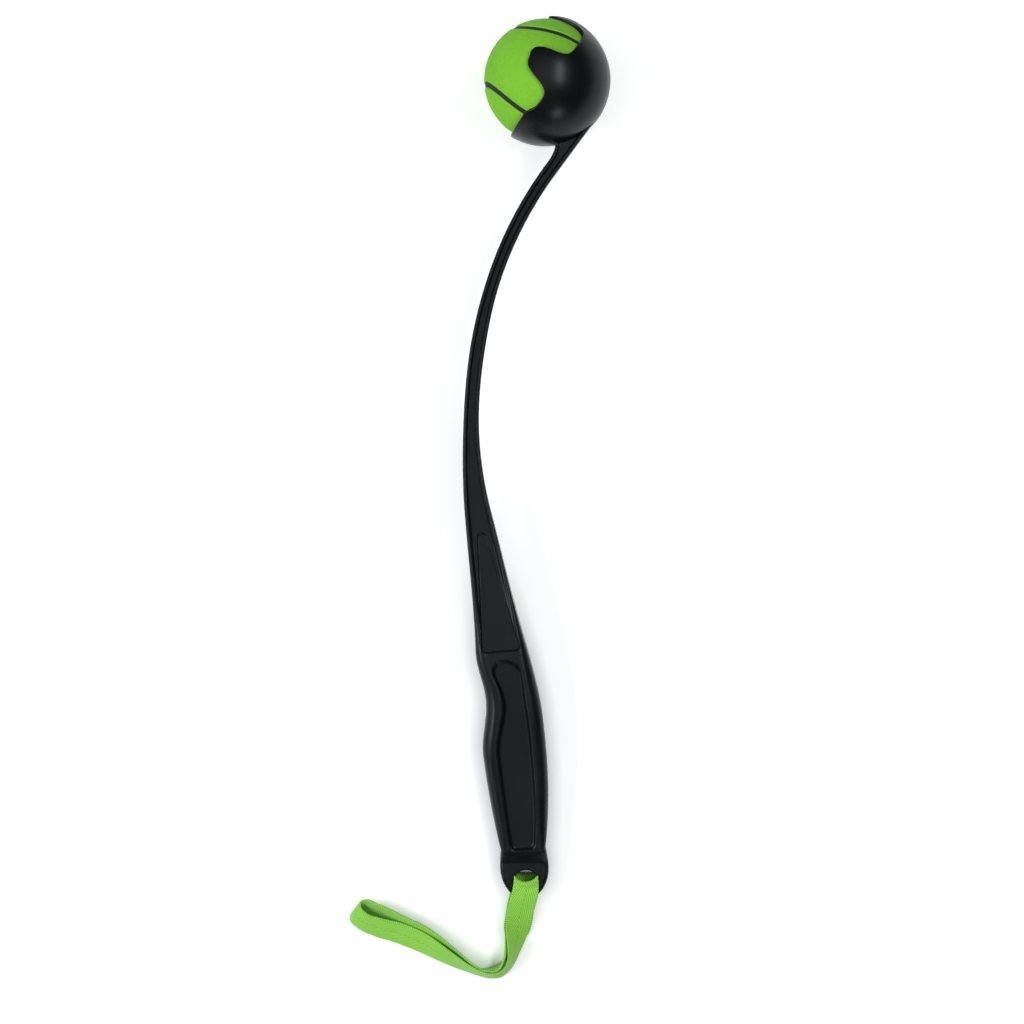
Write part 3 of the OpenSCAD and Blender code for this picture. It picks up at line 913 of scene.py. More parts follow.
    def lay_down(self) -> None:
        """Works out how the stick rests on its cup and its flank, and where that puts its eye."""
        neck_y = self.axis(self.d_neck)[1]
        half = self.neck_t / 2
        self.rest_tilt = math.asin(self.cup_r / math.hypot(neck_y, half)) - math.atan2(half, -neck_y)
        self.flank_end = neck_y - self.flank_over
        self.flare_y = self.axis(self.d_flare - self.thicken_lead)[1]
        left = min(self.beside(d, -self.left_width(d))[0] for d in span(0, self.d_end, 0.002))
        sine, cosine = math.sin(self.rest_tilt), math.cos(self.rest_tilt)
        butt = self.axis(self.d_end)[1] * cosine - self.knob_t / 2 * sine
        middle = Vector(((left + self.cup_r) / 2, (butt + self.cup_r) / 2, 0))
        lift = Matrix.Translation(Vector((0, 0, self.cup_r)) - middle)
        self.laid = lift @ Matrix.Rotation(self.rest_tilt, 4, "X")
        self.eye = Vector((*self.beside(self.d_neck + self.eye_drop, self.eye_side), 0))

    # The axis and the outline about it

    def axis(self, d: float) -> tuple[float, float, float]:
        """Walks the axis from the cup to the butt.

        Args:
            d: Distance along the axis.

        Returns:
            The place reached and the lean there, in radians.
        """
        lean = math.radians(self.arm_lean)
        x, y = self.arm_foot * math.cos(lean), -self.arm_foot * math.sin(lean)
        for index, (length, turn) in enumerate(self.runs):
            step = d if index == len(self.runs) - 1 else min(d, length)
            if turn == 0:
                x, y = x - step * math.sin(lean), y - step * math.cos(lean)
            else:
                r, ahead = length / turn, lean - turn * step / length
                x, y = x - r * (math.cos(ahead) - math.cos(lean)), y + r * (math.sin(ahead) - math.sin(lean))
                lean = ahead
            d -= step
            if d <= 0:
                break
        return x, y, lean

    def beside(self, d: float, offset: float) -> tuple[float, float]:
        """Point at an offset to the right of the axis."""
        x, y, lean = self.axis(d)
        return x + offset * math.cos(lean), y - offset * math.sin(lean)

    def half_width(self, d: float) -> float:
        """Reads the half width of the stick about its axis, without the finger groove.

        Args:
            d: Distance along the axis.

        Returns:
            The half width.
        """
        if d <= self.d_neck:
            return through(self.body_rows, d)
        if d <= self.d_knob:
            return through(self.knob_rows, d)
        return self.knob_w / 2 * math.sqrt(max(1 - ((d - self.d_knob) / self.knob_len) ** 2, 0))

    def groove(self, d: float) -> float:
        """Depth of the finger groove."""
        near = (d - self.groove_at) / self.groove_half
        return self.groove_depth * math.cos(math.pi / 2 * near) ** 2 if abs(near) < 1 else 0.0

    def left_width(self, d: float) -> float:
        """Half width on the front, with the finger groove and the fillet at the cup."""
        root = quarter_round(self.root_fillet, (self.root_from + self.root_len - d) / self.root_len)
        return self.half_width(d) - self.groove(d) + root

    def side_width(self, d: float, sign: float) -> float:
        """Half width on the front, for a sign of -1, or on the back."""
        return self.left_width(d) if sign < 0 else self.half_width(d)

    def edge_round(self, d: float) -> float:
        """Rounding of the long edges."""
        return min(through(self.round_rows, d), self.round_share * self.half_width(d))

    def channel(self, d: float, sign: float) -> tuple[float, float]:
        """Finds the fillet at the side of the arm's channel.

        Args:
            d: Distance along the axis.
            sign: -1 for the front, 1 for the back.

        Returns:
            The offset at which the fillet ends on the flange, and its width.
        """
        r = self.edge_round(d)
        foot = self.side_width(d, sign) - max(self.flange_t, r + self.flat_least)
        return foot, min(through(self.fillet_rows, d), (self.half_width(d) - r - 2 * self.flat_least) / 2)

    def recess_half(self, d: float, sign: float) -> float:
        """Half width of the grip recess on the front, for a sign of -1, or on the back."""
        wave = self.recess_wave * self.groove(d) if sign < 0 else 0.0
        return max(self.side_width(d, sign) - through(self.margin_rows, d) - wave, self.recess_least)

    def half_thick(self, y: float) -> float:
        """Works out half the stick's thickness, with its flank in the plane that it rests on.

        Args:
            y: Place along the mid-plane.

        Returns:
            The half thickness.
        """
        arm = -self.arm_w / 2
        flared = -soft_min(arm, arm - self.flare_rise * (self.flare_y - y), self.flare_ease)
        plane = (self.cup_r + y * math.sin(self.rest_tilt)) / math.cos(self.rest_tilt)
        body = soft_min(flared, plane, self.flank_ease)
        k = smooth_step((self.flank_end - y) / self.knob_step)
        return body * (1 - k) + self.knob_t / 2 * k

    # The relief of its sides

    def panel_inside(self, d: float, v: float) -> float:
        """Measures how far a place lies inside the outline of the bare panel.

        Args:
            d: Distance along the axis.
            v: Offset from the axis, less than 0 on the front.

        Returns:
            The distance, less than 0 outside.
        """
        half = self.panel_len / 2
        skew = self.panel_skew * smooth_step((d - self.panel_from) / self.panel_len)
        p, q = abs(v), d - (self.panel_from + half) - skew * v
        sizes = (self.panel_top_w, self.panel_end_w, self.panel_len)
        low, high, tall = (size / 2 - self.panel_round for size in sizes)
        edge = Vector((high - low, 2 * tall))
        side = Vector((edge.y, -edge.x)).normalized()
        from_side = (Vector((p, q)) - Vector((low, -tall))).dot(side)
        from_end = abs(q) - tall
        if from_side > 0 and from_end > 0:
            return self.panel_round - math.hypot(from_side, from_end)
        return self.panel_round - max(from_side, from_end)

    def recess_inside(self, d: float, v: float, sign: float) -> float:
        """Measures how far a place lies inside the outline of the grip recess.

        Args:
            d: Distance along the axis.
            v: Offset from the axis, without its sign.
            sign: -1 for the front, 1 for the back.

        Returns:
            The distance, less than 0 outside.
        """
        w = self.recess_half(d, sign)
        t = max(1 - (d - self.recess_from) / self.recess_round, 0.0)
        g = t * t + (v / w) ** 2
        slope = 2 * math.hypot(t / self.recess_round, v / (w * w))
        least_slope = 0.1 / w
        return soft_min((1 - g) / max(slope, least_slope), self.recess_to - d, self.recess_end_ease)

    def panel_floor(self, d: float) -> tuple[float, float]:
        """Place along y and height of the panel's floor."""
        y = self.axis(d)[1]
        return y, self.half_thick(y) - through(self.channel_rows, d) - self.panel_depth

    def recess_floor(self, d: float) -> tuple[float, float]:
        """Place along y and height of the grip recess's floor."""
        y = self.axis(d)[1]
        return y, self.half_thick(y) - self.recess_depth

    def floor_height(self, near: tuple[float, float], far: tuple[float, float], y: float) -> float:
        """Height of a flat recess floor, from its height at two places along y."""
        return near[1] + (far[1] - near[1]) * (y - near[0]) / (far[0] - near[0])

    def height(self, d: float, v: float, sign: float, y: float) -> float:
        """Works out the height of the stick's side above its mid-plane.

        Args:
            d: Distance along the axis.
            v: Offset from the axis, without its sign.
            sign: -1 for the front, 1 for the back.
            y: Place along the mid-plane, which the thickness follows.

        Returns:
            The height, with the channel, the panel and the grip recess in it.
        """
        foot, fillet = self.channel(d, sign)
        z = self.half_thick(y) - through(self.channel_rows, d) * smooth_step((foot - v) / max(fillet, 1e-5))
        if self.panel_from - self.relief_reach < d < self.panel_to + self.relief_reach:
            near, far = self.panel_floor(self.panel_from), self.panel_floor(self.panel_to)
            across = self.panel_inside(d, sign * v) / self.panel_wall + 0.5
            z += min(self.floor_height(near, far, y) - z, 0) * smooth_step(across)
        if self.recess_from - self.relief_reach < d < self.recess_to + self.relief_reach:
            near, far = self.recess_floor(self.recess_from), self.recess_floor(self.recess_to)
            across = self.recess_inside(d, v, sign) / self.recess_wall + 0.5
            sunk = arc_step(across, self.recess_wall / self.recess_depth)
            z += min(self.floor_height(near, far, y) - z, 0) * sunk
        return z

    # Meshes

    def offsets(self, d: float, sign: float) -> list[float]:
        """Spaces the points across half a side, close together at the walls of its recesses.

        Args:
            d: Distance along the axis.
            sign: -1 for the front, 1 for the back.

        Returns:
            Rising offsets from the axis to the start of the edge's rounding.
        """
        t = clamped((d - self.panel_from) / self.panel_len)
        panel = (self.panel_top_w + (self.panel_end_w - self.panel_top_w) * t) / 2
        rise = max(1 - (d - self.recess_from) / self.recess_round, 0)
        grip = self.recess_half(d, sign) * math.sqrt(max(1 - rise * rise, self.arch_least))
        gap = self.recess_from - self.panel_to
        s = smooth_step((d - self.panel_to - self.mark_blend) / (gap - 2 * self.mark_blend))
        edge = panel * (1 - s) + grip * s
        wall = (self.panel_wall * (1 - s) + self.recess_wall * s) / 2
        top = self.side_width(d, sign) - self.edge_round(d)
        foot, fillet = self.channel(d, sign)
        walls = (edge - wall, edge + wall, foot - fillet, foot)
        low, high = (share * top for share in self.side_marks)
        marks = sorted(min(max(m, low), high) for m in walls)
        marks = [0.0, *(m + self.mark_gap * top * k for k, m in enumerate(marks)), top]
        out: list[float] = []
        for a, b, count in zip(marks, marks[1:], self.side_counts):
            out += [a + (b - a) * k / count for k in range(count)]
        return [*out, top]

    def half_ring(self, d: float, sign: float) -> list[tuple[float, float, float]]:
        """Places the points of a quarter of one cross-section.

        Args:
            d: Distance along the axis.
            sign: -1 for the front, 1 for the back.

        Returns:
            Offset, height and wear of each point from the axis out to the mid-plane.
        """
        width, r = self.side_width(d, sign), self.edge_round(d)
        ending = quarter_round(self.knob_round, (self.knob_round - (self.d_end - d)) / self.knob_round)
        points = []
        for v in self.offsets(d, sign):
            z = self.height(d, v, sign, self.beside(d, sign * v)[1]) - ending
            worn_and_shaded = self.edge_wear if v > width - r - self.edge_wear_w else 0.0
            points.append((sign * v, max(z, self.edge_least), worn_and_shaded))
        for k in range(1, self.edge_steps + 1):
            a = math.pi / 2 * k / self.edge_steps
            v = width - r + r * math.sin(a)
            z = self.half_thick(self.beside(d, sign * v)[1]) - ending - r + r * math.cos(a)
            worn_and_shaded = math.sin(2 * a) * (1 if r < self.worn_round else self.grip_wear)
            points.append((sign * v, max(z, self.edge_least), worn_and_shaded))
        edge, steps = points[-1][1], self.wall_steps
        points += [(sign * width, edge * (1 - k / steps), 0.0) for k in range(1, steps + 1)]
        return points

    def rows(self) -> list[float]:
        """Spaces the cross-sections, close together at the ends of the recesses and at the knob.

        Returns:
            Rising distances along the axis.
        """
        # A stretch has the distance at which it ends, and the step in it
        stretches = (
            (self.panel_from - 0.0015, 0.0018),
            (self.panel_from + 0.003, 0.0003),
            (self.panel_to - 0.004, 0.0014),
            (self.panel_to + 0.0022, 0.0003),
            (self.recess_from - 0.0018, 0.001),
            (self.recess_from + self.recess_round, 0.0004),
            (self.recess_to - 0.003, 0.0012),
            (self.d_neck + 0.007, 0.0004),
            (self.d_knob, 0.0006),
        )
        out, start = [], 0.0
        for stop, step in stretches:
            out += span(start, stop, step)
            start = stop
        turns = [math.radians(self.butt_turn) * k / self.butt_steps for k in range(self.butt_steps + 1)]
        return [*out, *(self.d_knob + self.knob_len * math.sin(a) for a in turns)]

    def build_loft(self) -> bmesh.types.BMesh:
        """Skins the arm, the handle and the knob over their cross-sections, clear of the cup's hollow.

        Returns:
            The mesh in the stick's own mid-plane.
        """
        hollow = self.cup_in + self.root_clear
        rings, wear_and_seam_shade = [], []
        for d in self.rows():
            x, y, lean = self.axis(d)
            left, right = self.half_ring(d, -1), self.half_ring(d, 1)
            upper = [*reversed(left), *right[1:]]
            points = [*upper, *((v, -z, w) for v, z, w in reversed(upper[:-1]))]
            ring = []
            for v, z, _ in points:
                p = Vector((x + v * math.cos(lean), y - v * math.sin(lean), z))
                if p.length < hollow:
                    p *= hollow / p.length
                ring.append(p)
            rings.append(ring)
            wear_and_seam_shade.append([w for _, _, w in points])
        return skin(np.array(rings), wear_and_seam_shade=np.array(wear_and_seam_shade))

    def from_lip(self, turn: float) -> float:
        """Angle of a turn about the mouth's axis from the lower lip, which is at 90 degrees."""
        return abs((turn + 90) % 360 - 180)

    def rim(self, turn: float) -> float:
        """Works out the angle from the mouth's axis to the cup's rim.

        Args:
            turn: Turn about that axis in degrees.

        Returns:
            The angle in degrees, small where a tongue reaches over the ball.
        """
        a = self.from_lip(turn)

        def ease(at: float, soft: float) -> float:
            """Eased step from 0 to 1 as the turn from the lip passes a place."""
            return math.exp((a - at) / soft) / 2 if a < at else 1 - math.exp((at - a) / soft) / 2

        side, soft = 90 + self.side_lean, self.tongue_ease
        tongue = ease(side - self.side_half, soft) * (1 - ease(side + self.side_half, soft))
        notch = self.notch_drop * (1 - ease(side, soft))
        lip = self.lip_reach * (1 - ease(self.lip_half, self.lip_softer * soft))
        top = self.top_reach * ease(180 - self.top_half, self.top_softer * soft)
        return self.rim_angle + notch - lip - self.side_reach * tongue - top

    def rim_slope(self, turn: float) -> float:
        """Slope of the rim against its own direction round the ball."""
        rise = self.rim(turn + self.slope_reach) - self.rim(turn - self.slope_reach)
        return rise / (2 * self.slope_reach) / math.sin(math.radians(self.rim(turn)))

    def build_cup(self) -> bmesh.types.BMesh:
        """Skins the claw cup: out over its back to the rim, round the rim and back along the inside.

        Returns:
            The mesh in the stick's own mid-plane.
        """
        e, rings, wear_and_seam_shade = self.rim_round, [], []
        corner = [math.pi / 2 * k / self.rim_steps for k in range(self.rim_steps + 1)]
        profile = [(self.cup_r - e + e * math.cos(c), e - e * math.sin(c), math.sin(2 * c)) for c in corner]
        for c in corner:
            worn_and_shaded = self.lining_wear * math.sin(2 * c)
            profile.append((self.cup_in + e - e * math.sin(c), e - e * math.cos(c), worn_and_shaded))
        swing = [math.sin(math.pi / 2 * k / self.cup_rows) for k in range(self.cup_rows)]
        turned = Matrix.Rotation(math.radians(self.mouth_dir), 3, "Z") @ Matrix.Rotation(math.pi / 2, 3, "Y")
        for i in range(self.cup_turns + 1):
            a = 360 * (i % self.cup_turns) / self.cup_turns
            rim, lean = self.rim(a), math.hypot(1, self.rim_slope(a))
            edge = [(r, rim + math.degrees(s / self.cup_r) * lean, w) for r, s, w in profile]
            start, stop = edge[0][1], edge[-1][1]
            outer = [(self.cup_r, 180 + (start - 180) * share, 0.0) for share in swing]
            steps = range(1, self.lining_rows + 1)
            inner = [(self.cup_in, stop + (180 - stop) * k / self.lining_rows, 0.0) for k in steps]
            tip = smooth_step((self.from_lip(a) - 180 + self.top_half) / self.tip_ease + 0.5)
            line, column = [*outer, *edge, *inner], []
            for k, (r, theta, _) in enumerate(line):
                if k < len(outer) + len(corner):
                    r -= self.tip_thin * tip * max(1 - (theta - rim) / self.tip_span, 0) ** 2
                column.append(turned @ (r * on_sphere(math.radians(theta), math.radians(a))))
            rings.append(column)
            wear_and_seam_shade.append([w for _, _, w in line])
        return skin(np.array(rings).transpose(1, 0, 2), wear_and_seam_shade=np.array(wear_and_seam_shade).T, caps=False)

    def build_cutter(self) -> bpy.types.Object:
        """Turns the plug that cuts the strap eye, flared so that the eye gets rounded lips.

        Returns:
            The plug, which isn't part of the stick.
        """
        half, r, lip = self.knob_t / 2, self.eye_d / 2, self.eye_lip
        angles = np.radians((0, 15, 30, 45, 60))
        arc = [(r + lip - lip * math.cos(a), half - lip + lip * math.sin(a)) for a in angles]
        out, up = arc[-1]
        upper = [*arc, (out + self.plug_flare * math.sqrt(3), up + self.plug_flare)]
        top = upper[-1][1]
        profile = [(0.0, top), *reversed(upper), *((p, -q) for p, q in upper), (0.0, -top)]
        bm = bmesh.new()
        verts = [bm.verts.new((p, 0, q)) for p, q in profile]
        edges = [bm.edges.new(pair) for pair in zip(verts, verts[1:])]
        bmesh.ops.spin(
            bm, geom=[*verts, *edges], cent=(0, 0, 0), axis=(0, 0, 1), angle=2 * math.pi,
            steps=self.eye_steps, use_merge=True,
        )
        bmesh.ops.remove_doubles(bm, verts=bm.verts, dist=WELD)
        bmesh.ops.translate(bm, verts=bm.verts, vec=self.eye)
        bmesh.ops.transform(bm, verts=bm.verts, matrix=self.laid)
        bmesh.ops.recalc_face_normals(bm, faces=bm.faces)
        return as_object(bm, "eye_plug")

    def build(self, finish: MouldedPlastic) -> bpy.types.Object:
        """Builds and dresses the moulding.

        Args:
            finish: Its plastic.

        Returns:
            The piece, which stands for the stick's solid.
        """
        loft = self.build_loft()
        bmesh.ops.transform(loft, verts=loft.verts, matrix=self.laid)
        body = as_object(loft, "stick_body")
        plug = self.build_cutter()
        cut = body.modifiers.new("eye", "BOOLEAN")
        cut.object, cut.solver = plug, "EXACT"
        bored = bpy.data.meshes.new_from_object(body.evaluated_get(bpy.context.evaluated_depsgraph_get()))
        bpy.data.objects.remove(plug)
        bpy.data.objects.remove(body)
        cup = self.build_cup()
        bmesh.ops.transform(cup, verts=cup.verts, matrix=self.laid)
        cup.from_mesh(bored)
        stick = as_object(cup, "launcher_moulding", 38)
        return seat(stick, Body.LAUNCHER, finish.material(), "launcher_stick")


# The strap


@dataclass
class WristStrap:
    """Twill tape that is sewn to itself, runs up through the eye and stands in a loop on its edge.

    A route row has the middle of the tape from the eye along the floor, in metres, then in degrees the
    heading and the rise of its width and half the angle that it is curled through across its width.
    """

    eye: Vector
    width: float = 0.015
    thick: float = 0.0008
    bead: float = 0.0002
    bead_from: float = 0.8
    bead_ease: float = 0.1
    edge_map: float = 1.02
    waver: float = 0.012
    waver_spots: float = 260.0
    least_curl: float = 0.01
    lap_heading: float = 170.0
    lap_middle: tuple[float, float] = (-0.003, -0.0172)
    lap_z: tuple[float, float] = (0.00095, 0.002)
    sewn_w: float = 0.010
    sewn_len: float = 0.0065
    side_stitches: int = 3
    stitch_steps: int = 8
    stitch_dip: float = 0.3
    hole_gap: float = 0.06
    thread_d: float = 0.0004
    thread_gap: float = 0.00005
    thread_sides: int = 10
    across: int = 22
    step: float = 0.0008
    route: tuple[tuple[float, ...], ...] = (
        (-0.0039, -0.022, 0.002, 170, 0, 0),
        (-0.0022, -0.0125, 0.002, 170, 0, 0),
        (-0.001, -0.0085, 0.0016, 176, 0, 26),
        (0, -0.0063, 0.0017, 180, 0, 60),
        (0, -0.0053, 0.0023, 180, 0, 78),
        (0, -0.005, 0.0045, 180, 0, 82),
        (0, -0.0044, 0.0085, 180, 0, 82),
        (0, -0.0033, 0.012, 180, 0, 80),
        (0, -0.0016, 0.0142, 180, 0, 68),
        (0, 0.0002, 0.016, 180, 0, 56),
        (0, 0.0001, 0.0172, 180, 0, 53),
        (0, -0.0011, 0.0174, 180, 0, 51),
        (0, -0.0021, 0.0163, 180, 0, 48),
        (0, -0.0034, 0.0156, 180, 0, 43),
        (-0.0004, -0.0065, 0.0155, 180, 0, 30),
        (-0.0012, -0.0095, 0.0148, 180, 3, 15),
        (-0.0024, -0.0135, 0.013, 178, 10, 0),
        (-0.0041, -0.0215, 0.011, 175, 23, 0),
        (-0.0052, -0.03, 0.0095, 166, 42, 0),
        (-0.0065, -0.038, 0.0082, 158, 62, 0),
        (-0.0082, -0.0446, 0.0077, 144, 72, 0),
        (-0.0109, -0.0489, 0.0076, 120, 73, 0),
        (-0.0147, -0.0515, 0.0076, 96, 71, 0),
        (-0.0197, -0.052, 0.0076, 82, 72, 0),
        (-0.0257, -0.0504, 0.0076, 74, 71, 0),
        (-0.0322, -0.0476, 0.0075, 70, 67, 0),
        (-0.0387, -0.0442, 0.0072, 69, 58, 0),
        (-0.0477, -0.0392, 0.0064, 67, 47, 0),
        (-0.0552, -0.035, 0.0055, 69, 38, 0),
        (-0.0697, -0.029, 0.005, 69, 34, 0),
        (-0.0817, -0.0256, 0.0053, 66, 38, 0),
        (-0.0892, -0.0223, 0.0058, 60, 43, 0),
        (-0.0927, -0.0185, 0.0058, 56, 42, 0),
        (-0.0925, -0.0155, 0.006, 56, 43, 0),
        (-0.0897, -0.014, 0.0064, 55, 48, 0),
        (-0.0822, -0.0162, 0.0066, 58, 52, 0),
        (-0.0692, -0.0226, 0.0065, 65, 50, 0),
        (-0.0542, -0.03, 0.0065, 67, 51, 0),
        (-0.0432, -0.0377, 0.0068, 70, 55, 0),
        (-0.0362, -0.0425, 0.0071, 72, 63, 0),
        (-0.0292, -0.047, 0.0075, 75, 72, 0),
        (-0.0212, -0.0487, 0.0077, 84, 85, 0),
        (-0.0154, -0.0475, 0.0078, 98, 92, 0),
        (-0.0114, -0.0434, 0.0077, 130, 80, 0),
        (-0.0083, -0.0374, 0.007, 154, 63, 0),
        (-0.0056, -0.0305, 0.0052, 168, 36, 0),
        (-0.0045, -0.025, 0.00155, 170, 5, 0),
        (-0.0041, -0.0232, 0.00095, 170, 0, 0),
        (-0.0039, -0.022, 0.00095, 170, 0, 0),
        (-0.0022, -0.0125, 0.00095, 170, 0, 0),
        (-0.001, -0.0085, 0.0005, 174, 0, 0),
        (-0.0003, -0.004, 0.0005, 178, 0, 12),
        (0, 0.0018, 0.0005, 180, 0, 24),
    )

    def curves(self) -> tuple[list[CurveRows], float]:
        """Carries each value of the route on one smooth curve.

        Returns:
            The curves and the distance along the route's points.
        """
        rows = np.array(self.route, float)
        spans = np.linalg.norm(np.diff(rows[:, :3], axis=0), axis=1)
        at = np.concatenate([[0], np.cumsum(spans)])
        weight = spans[:, None]
        rate = np.diff(rows, axis=0) / weight
        inner = (rate[:-1] * weight[1:] + rate[1:] * weight[:-1]) / (weight[1:] + weight[:-1])
        slope = np.concatenate([rate[:1], inner, rate[-1:]])
        return [list(zip(at, rows[:, c], slope[:, c])) for c in range(rows.shape[1])], float(at[-1])

    def lines(self) -> tuple[np.ndarray, np.ndarray]:
        """Places the tape's middle surface.

        Returns:
            Points as (place along, place across, xyz), and the place across of each column, from -1 to 1.
        """
        curves, total = self.curves()
        share = np.linspace(-1, 1, self.across + 1)
        back = np.array((0, 1, 0))
        grid = []
        for d in [*span(0, total, self.step), total]:
            *middle, heading, rise, curl = (through(c, d) for c in curves)
            heading, rise, curl = (math.radians(a) for a in (heading, rise, max(curl, self.least_curl)))
            flat = math.cos(rise)
            wide = np.array((flat * math.cos(heading), flat * math.sin(heading), math.sin(rise)))
            r = self.width / 2 * (1 + self.waver * noise.noise((d * self.waver_spots, 0, 0))) / curl
            turns = [curl * s for s in share]
            line = [np.array(middle) + r * math.sin(a) * wide + r * (1 - math.cos(a)) * back for a in turns]
            grid.append(np.array(line) + (self.eye.x, self.eye.y, 0))
        return np.array(grid), share

    def build(self, finish: TwillTape) -> tuple[bpy.types.Object, np.ndarray]:
        """Builds and dresses the tape, with round edges and a bead along each selvedge.

        Args:
            finish: Its weave.

        Returns:
            The piece, and the middle line of the tape.
        """
        grid, share = self.lines()
        wide = np.gradient(grid, axis=1)
        normal = np.cross(np.gradient(grid, axis=0), wide)
        normal /= np.linalg.norm(normal, axis=2, keepdims=True)
        side = wide / np.linalg.norm(wide, axis=2, keepdims=True)
        middle = grid[:, self.across // 2]
        reach = np.concatenate([[0], np.cumsum(np.linalg.norm(np.diff(middle, axis=0), axis=1))])
        soft = self.thick / 2
        beads = [self.bead * smooth_step((abs(s) - self.bead_from) / self.bead_ease) for s in share]
        halves = [(self.thick + bead) / 2 for bead in beads]
        columns, places = [], []
        for face, order in ((1, range(len(share))), (-1, range(len(share) - 1, -1, -1))):
            for k in order:
                columns.append(grid[:, k] + face * normal[:, k] * halves[k] - side[:, k] * soft * share[k])
                places.append(share[k])
            last = order[-1]
            for a in np.radians((45, 90, 135)):
                out = normal[:, last] * halves[last] * math.cos(a) - side[:, last] * soft * (1 - math.sin(a))
                columns.append(grid[:, last] + face * out)
                places.append(face * self.edge_map)
        columns.append(columns[0])
        places.append(places[0])
        rings = np.array(columns).transpose(1, 0, 2)
        uvs = np.array([[(u, p * self.width / 2) for p in places] for u in reach])
        tape = as_object(skin(rings, uvs=uvs), "strap_tape", 60)
        seat(tape, Body.LAUNCHER, finish.material(), "wrist_strap")
        return tape, middle

    def holes(self) -> list[Vector]:
        """Places the needle holes around the sewn box.

        Returns:
            The holes in order, at half the lap's height.
        """
        signs = ((-1, 1), (1, 1), (1, -1), (-1, -1))
        corners = [Vector((x * self.sewn_w / 2, y * self.sewn_len / 2, 0)) for x, y in signs]
        turn = Matrix.Rotation(math.radians(self.lap_heading - 180), 3, "Z")
        foot = self.eye + Vector((*self.lap_middle, sum(self.lap_z) / 2))
        return [
            foot + turn @ a.lerp(b, k / self.side_stitches)
            for a, b in zip(corners, [*corners[1:], corners[0]])
            for k in range(self.side_stitches)
        ]

    def stitch_line(self) -> list[Vector]:
        """Leads the thread from hole to hole, over and under the lap by turns.

        Returns:
            The points of the closed line, of which the last repeats the first.
        """
        holes = self.holes()
        rise = (self.lap_z[1] - self.lap_z[0] + self.thick + self.thread_d) / 2 + self.thread_gap
        line: list[Vector] = []
        for i, hole in enumerate(holes):
            ahead, face = holes[(i + 1) % len(holes)], rise if i % 2 == 0 else -rise
            for k in range(self.stitch_steps + 1):
                t = k / self.stitch_steps
                lift = face * (1 - self.stitch_dip * (2 * t - 1) ** 6)
                share = self.hole_gap + (1 - 2 * self.hole_gap) * t
                line.append(hole.lerp(ahead, share) + Vector((0, 0, lift)))
        return [*line, line[0].copy()]

    def build_stitches(self, finish: SewingThread) -> bpy.types.Object:
        """Sews the lap with a running stitch that lies on its two faces by turns.

        Args:
            finish: The thread.

        Returns:
            The piece.
        """
        line, sides = self.stitch_line(), self.thread_sides
        turns = [2 * math.pi * k / sides for k in range(sides + 1)]
        rings, uvs, u = [], [], 0.0
        for i, p in enumerate(line):
            before, after = line[i - 1 if i else len(line) - 2], line[(i + 1) % len(line) or 1]
            ahead = (after - before).normalized()
            out = Vector((-ahead.y, ahead.x, 0)).normalized()
            up = ahead.cross(out)
            if i:
                u += (p - line[i - 1]).length
            rings.append([p + (out * math.cos(a) + up * math.sin(a)) * self.thread_d / 2 for a in turns])
            uvs.append([(u, k / sides) for k in range(sides + 1)])
        thread = as_object(skin(np.array(rings), uvs=np.array(uvs), caps=False), "strap_thread", 60)
        return seat(thread, Body.LAUNCHER, finish.material(), "strap_stitching")


# The ball


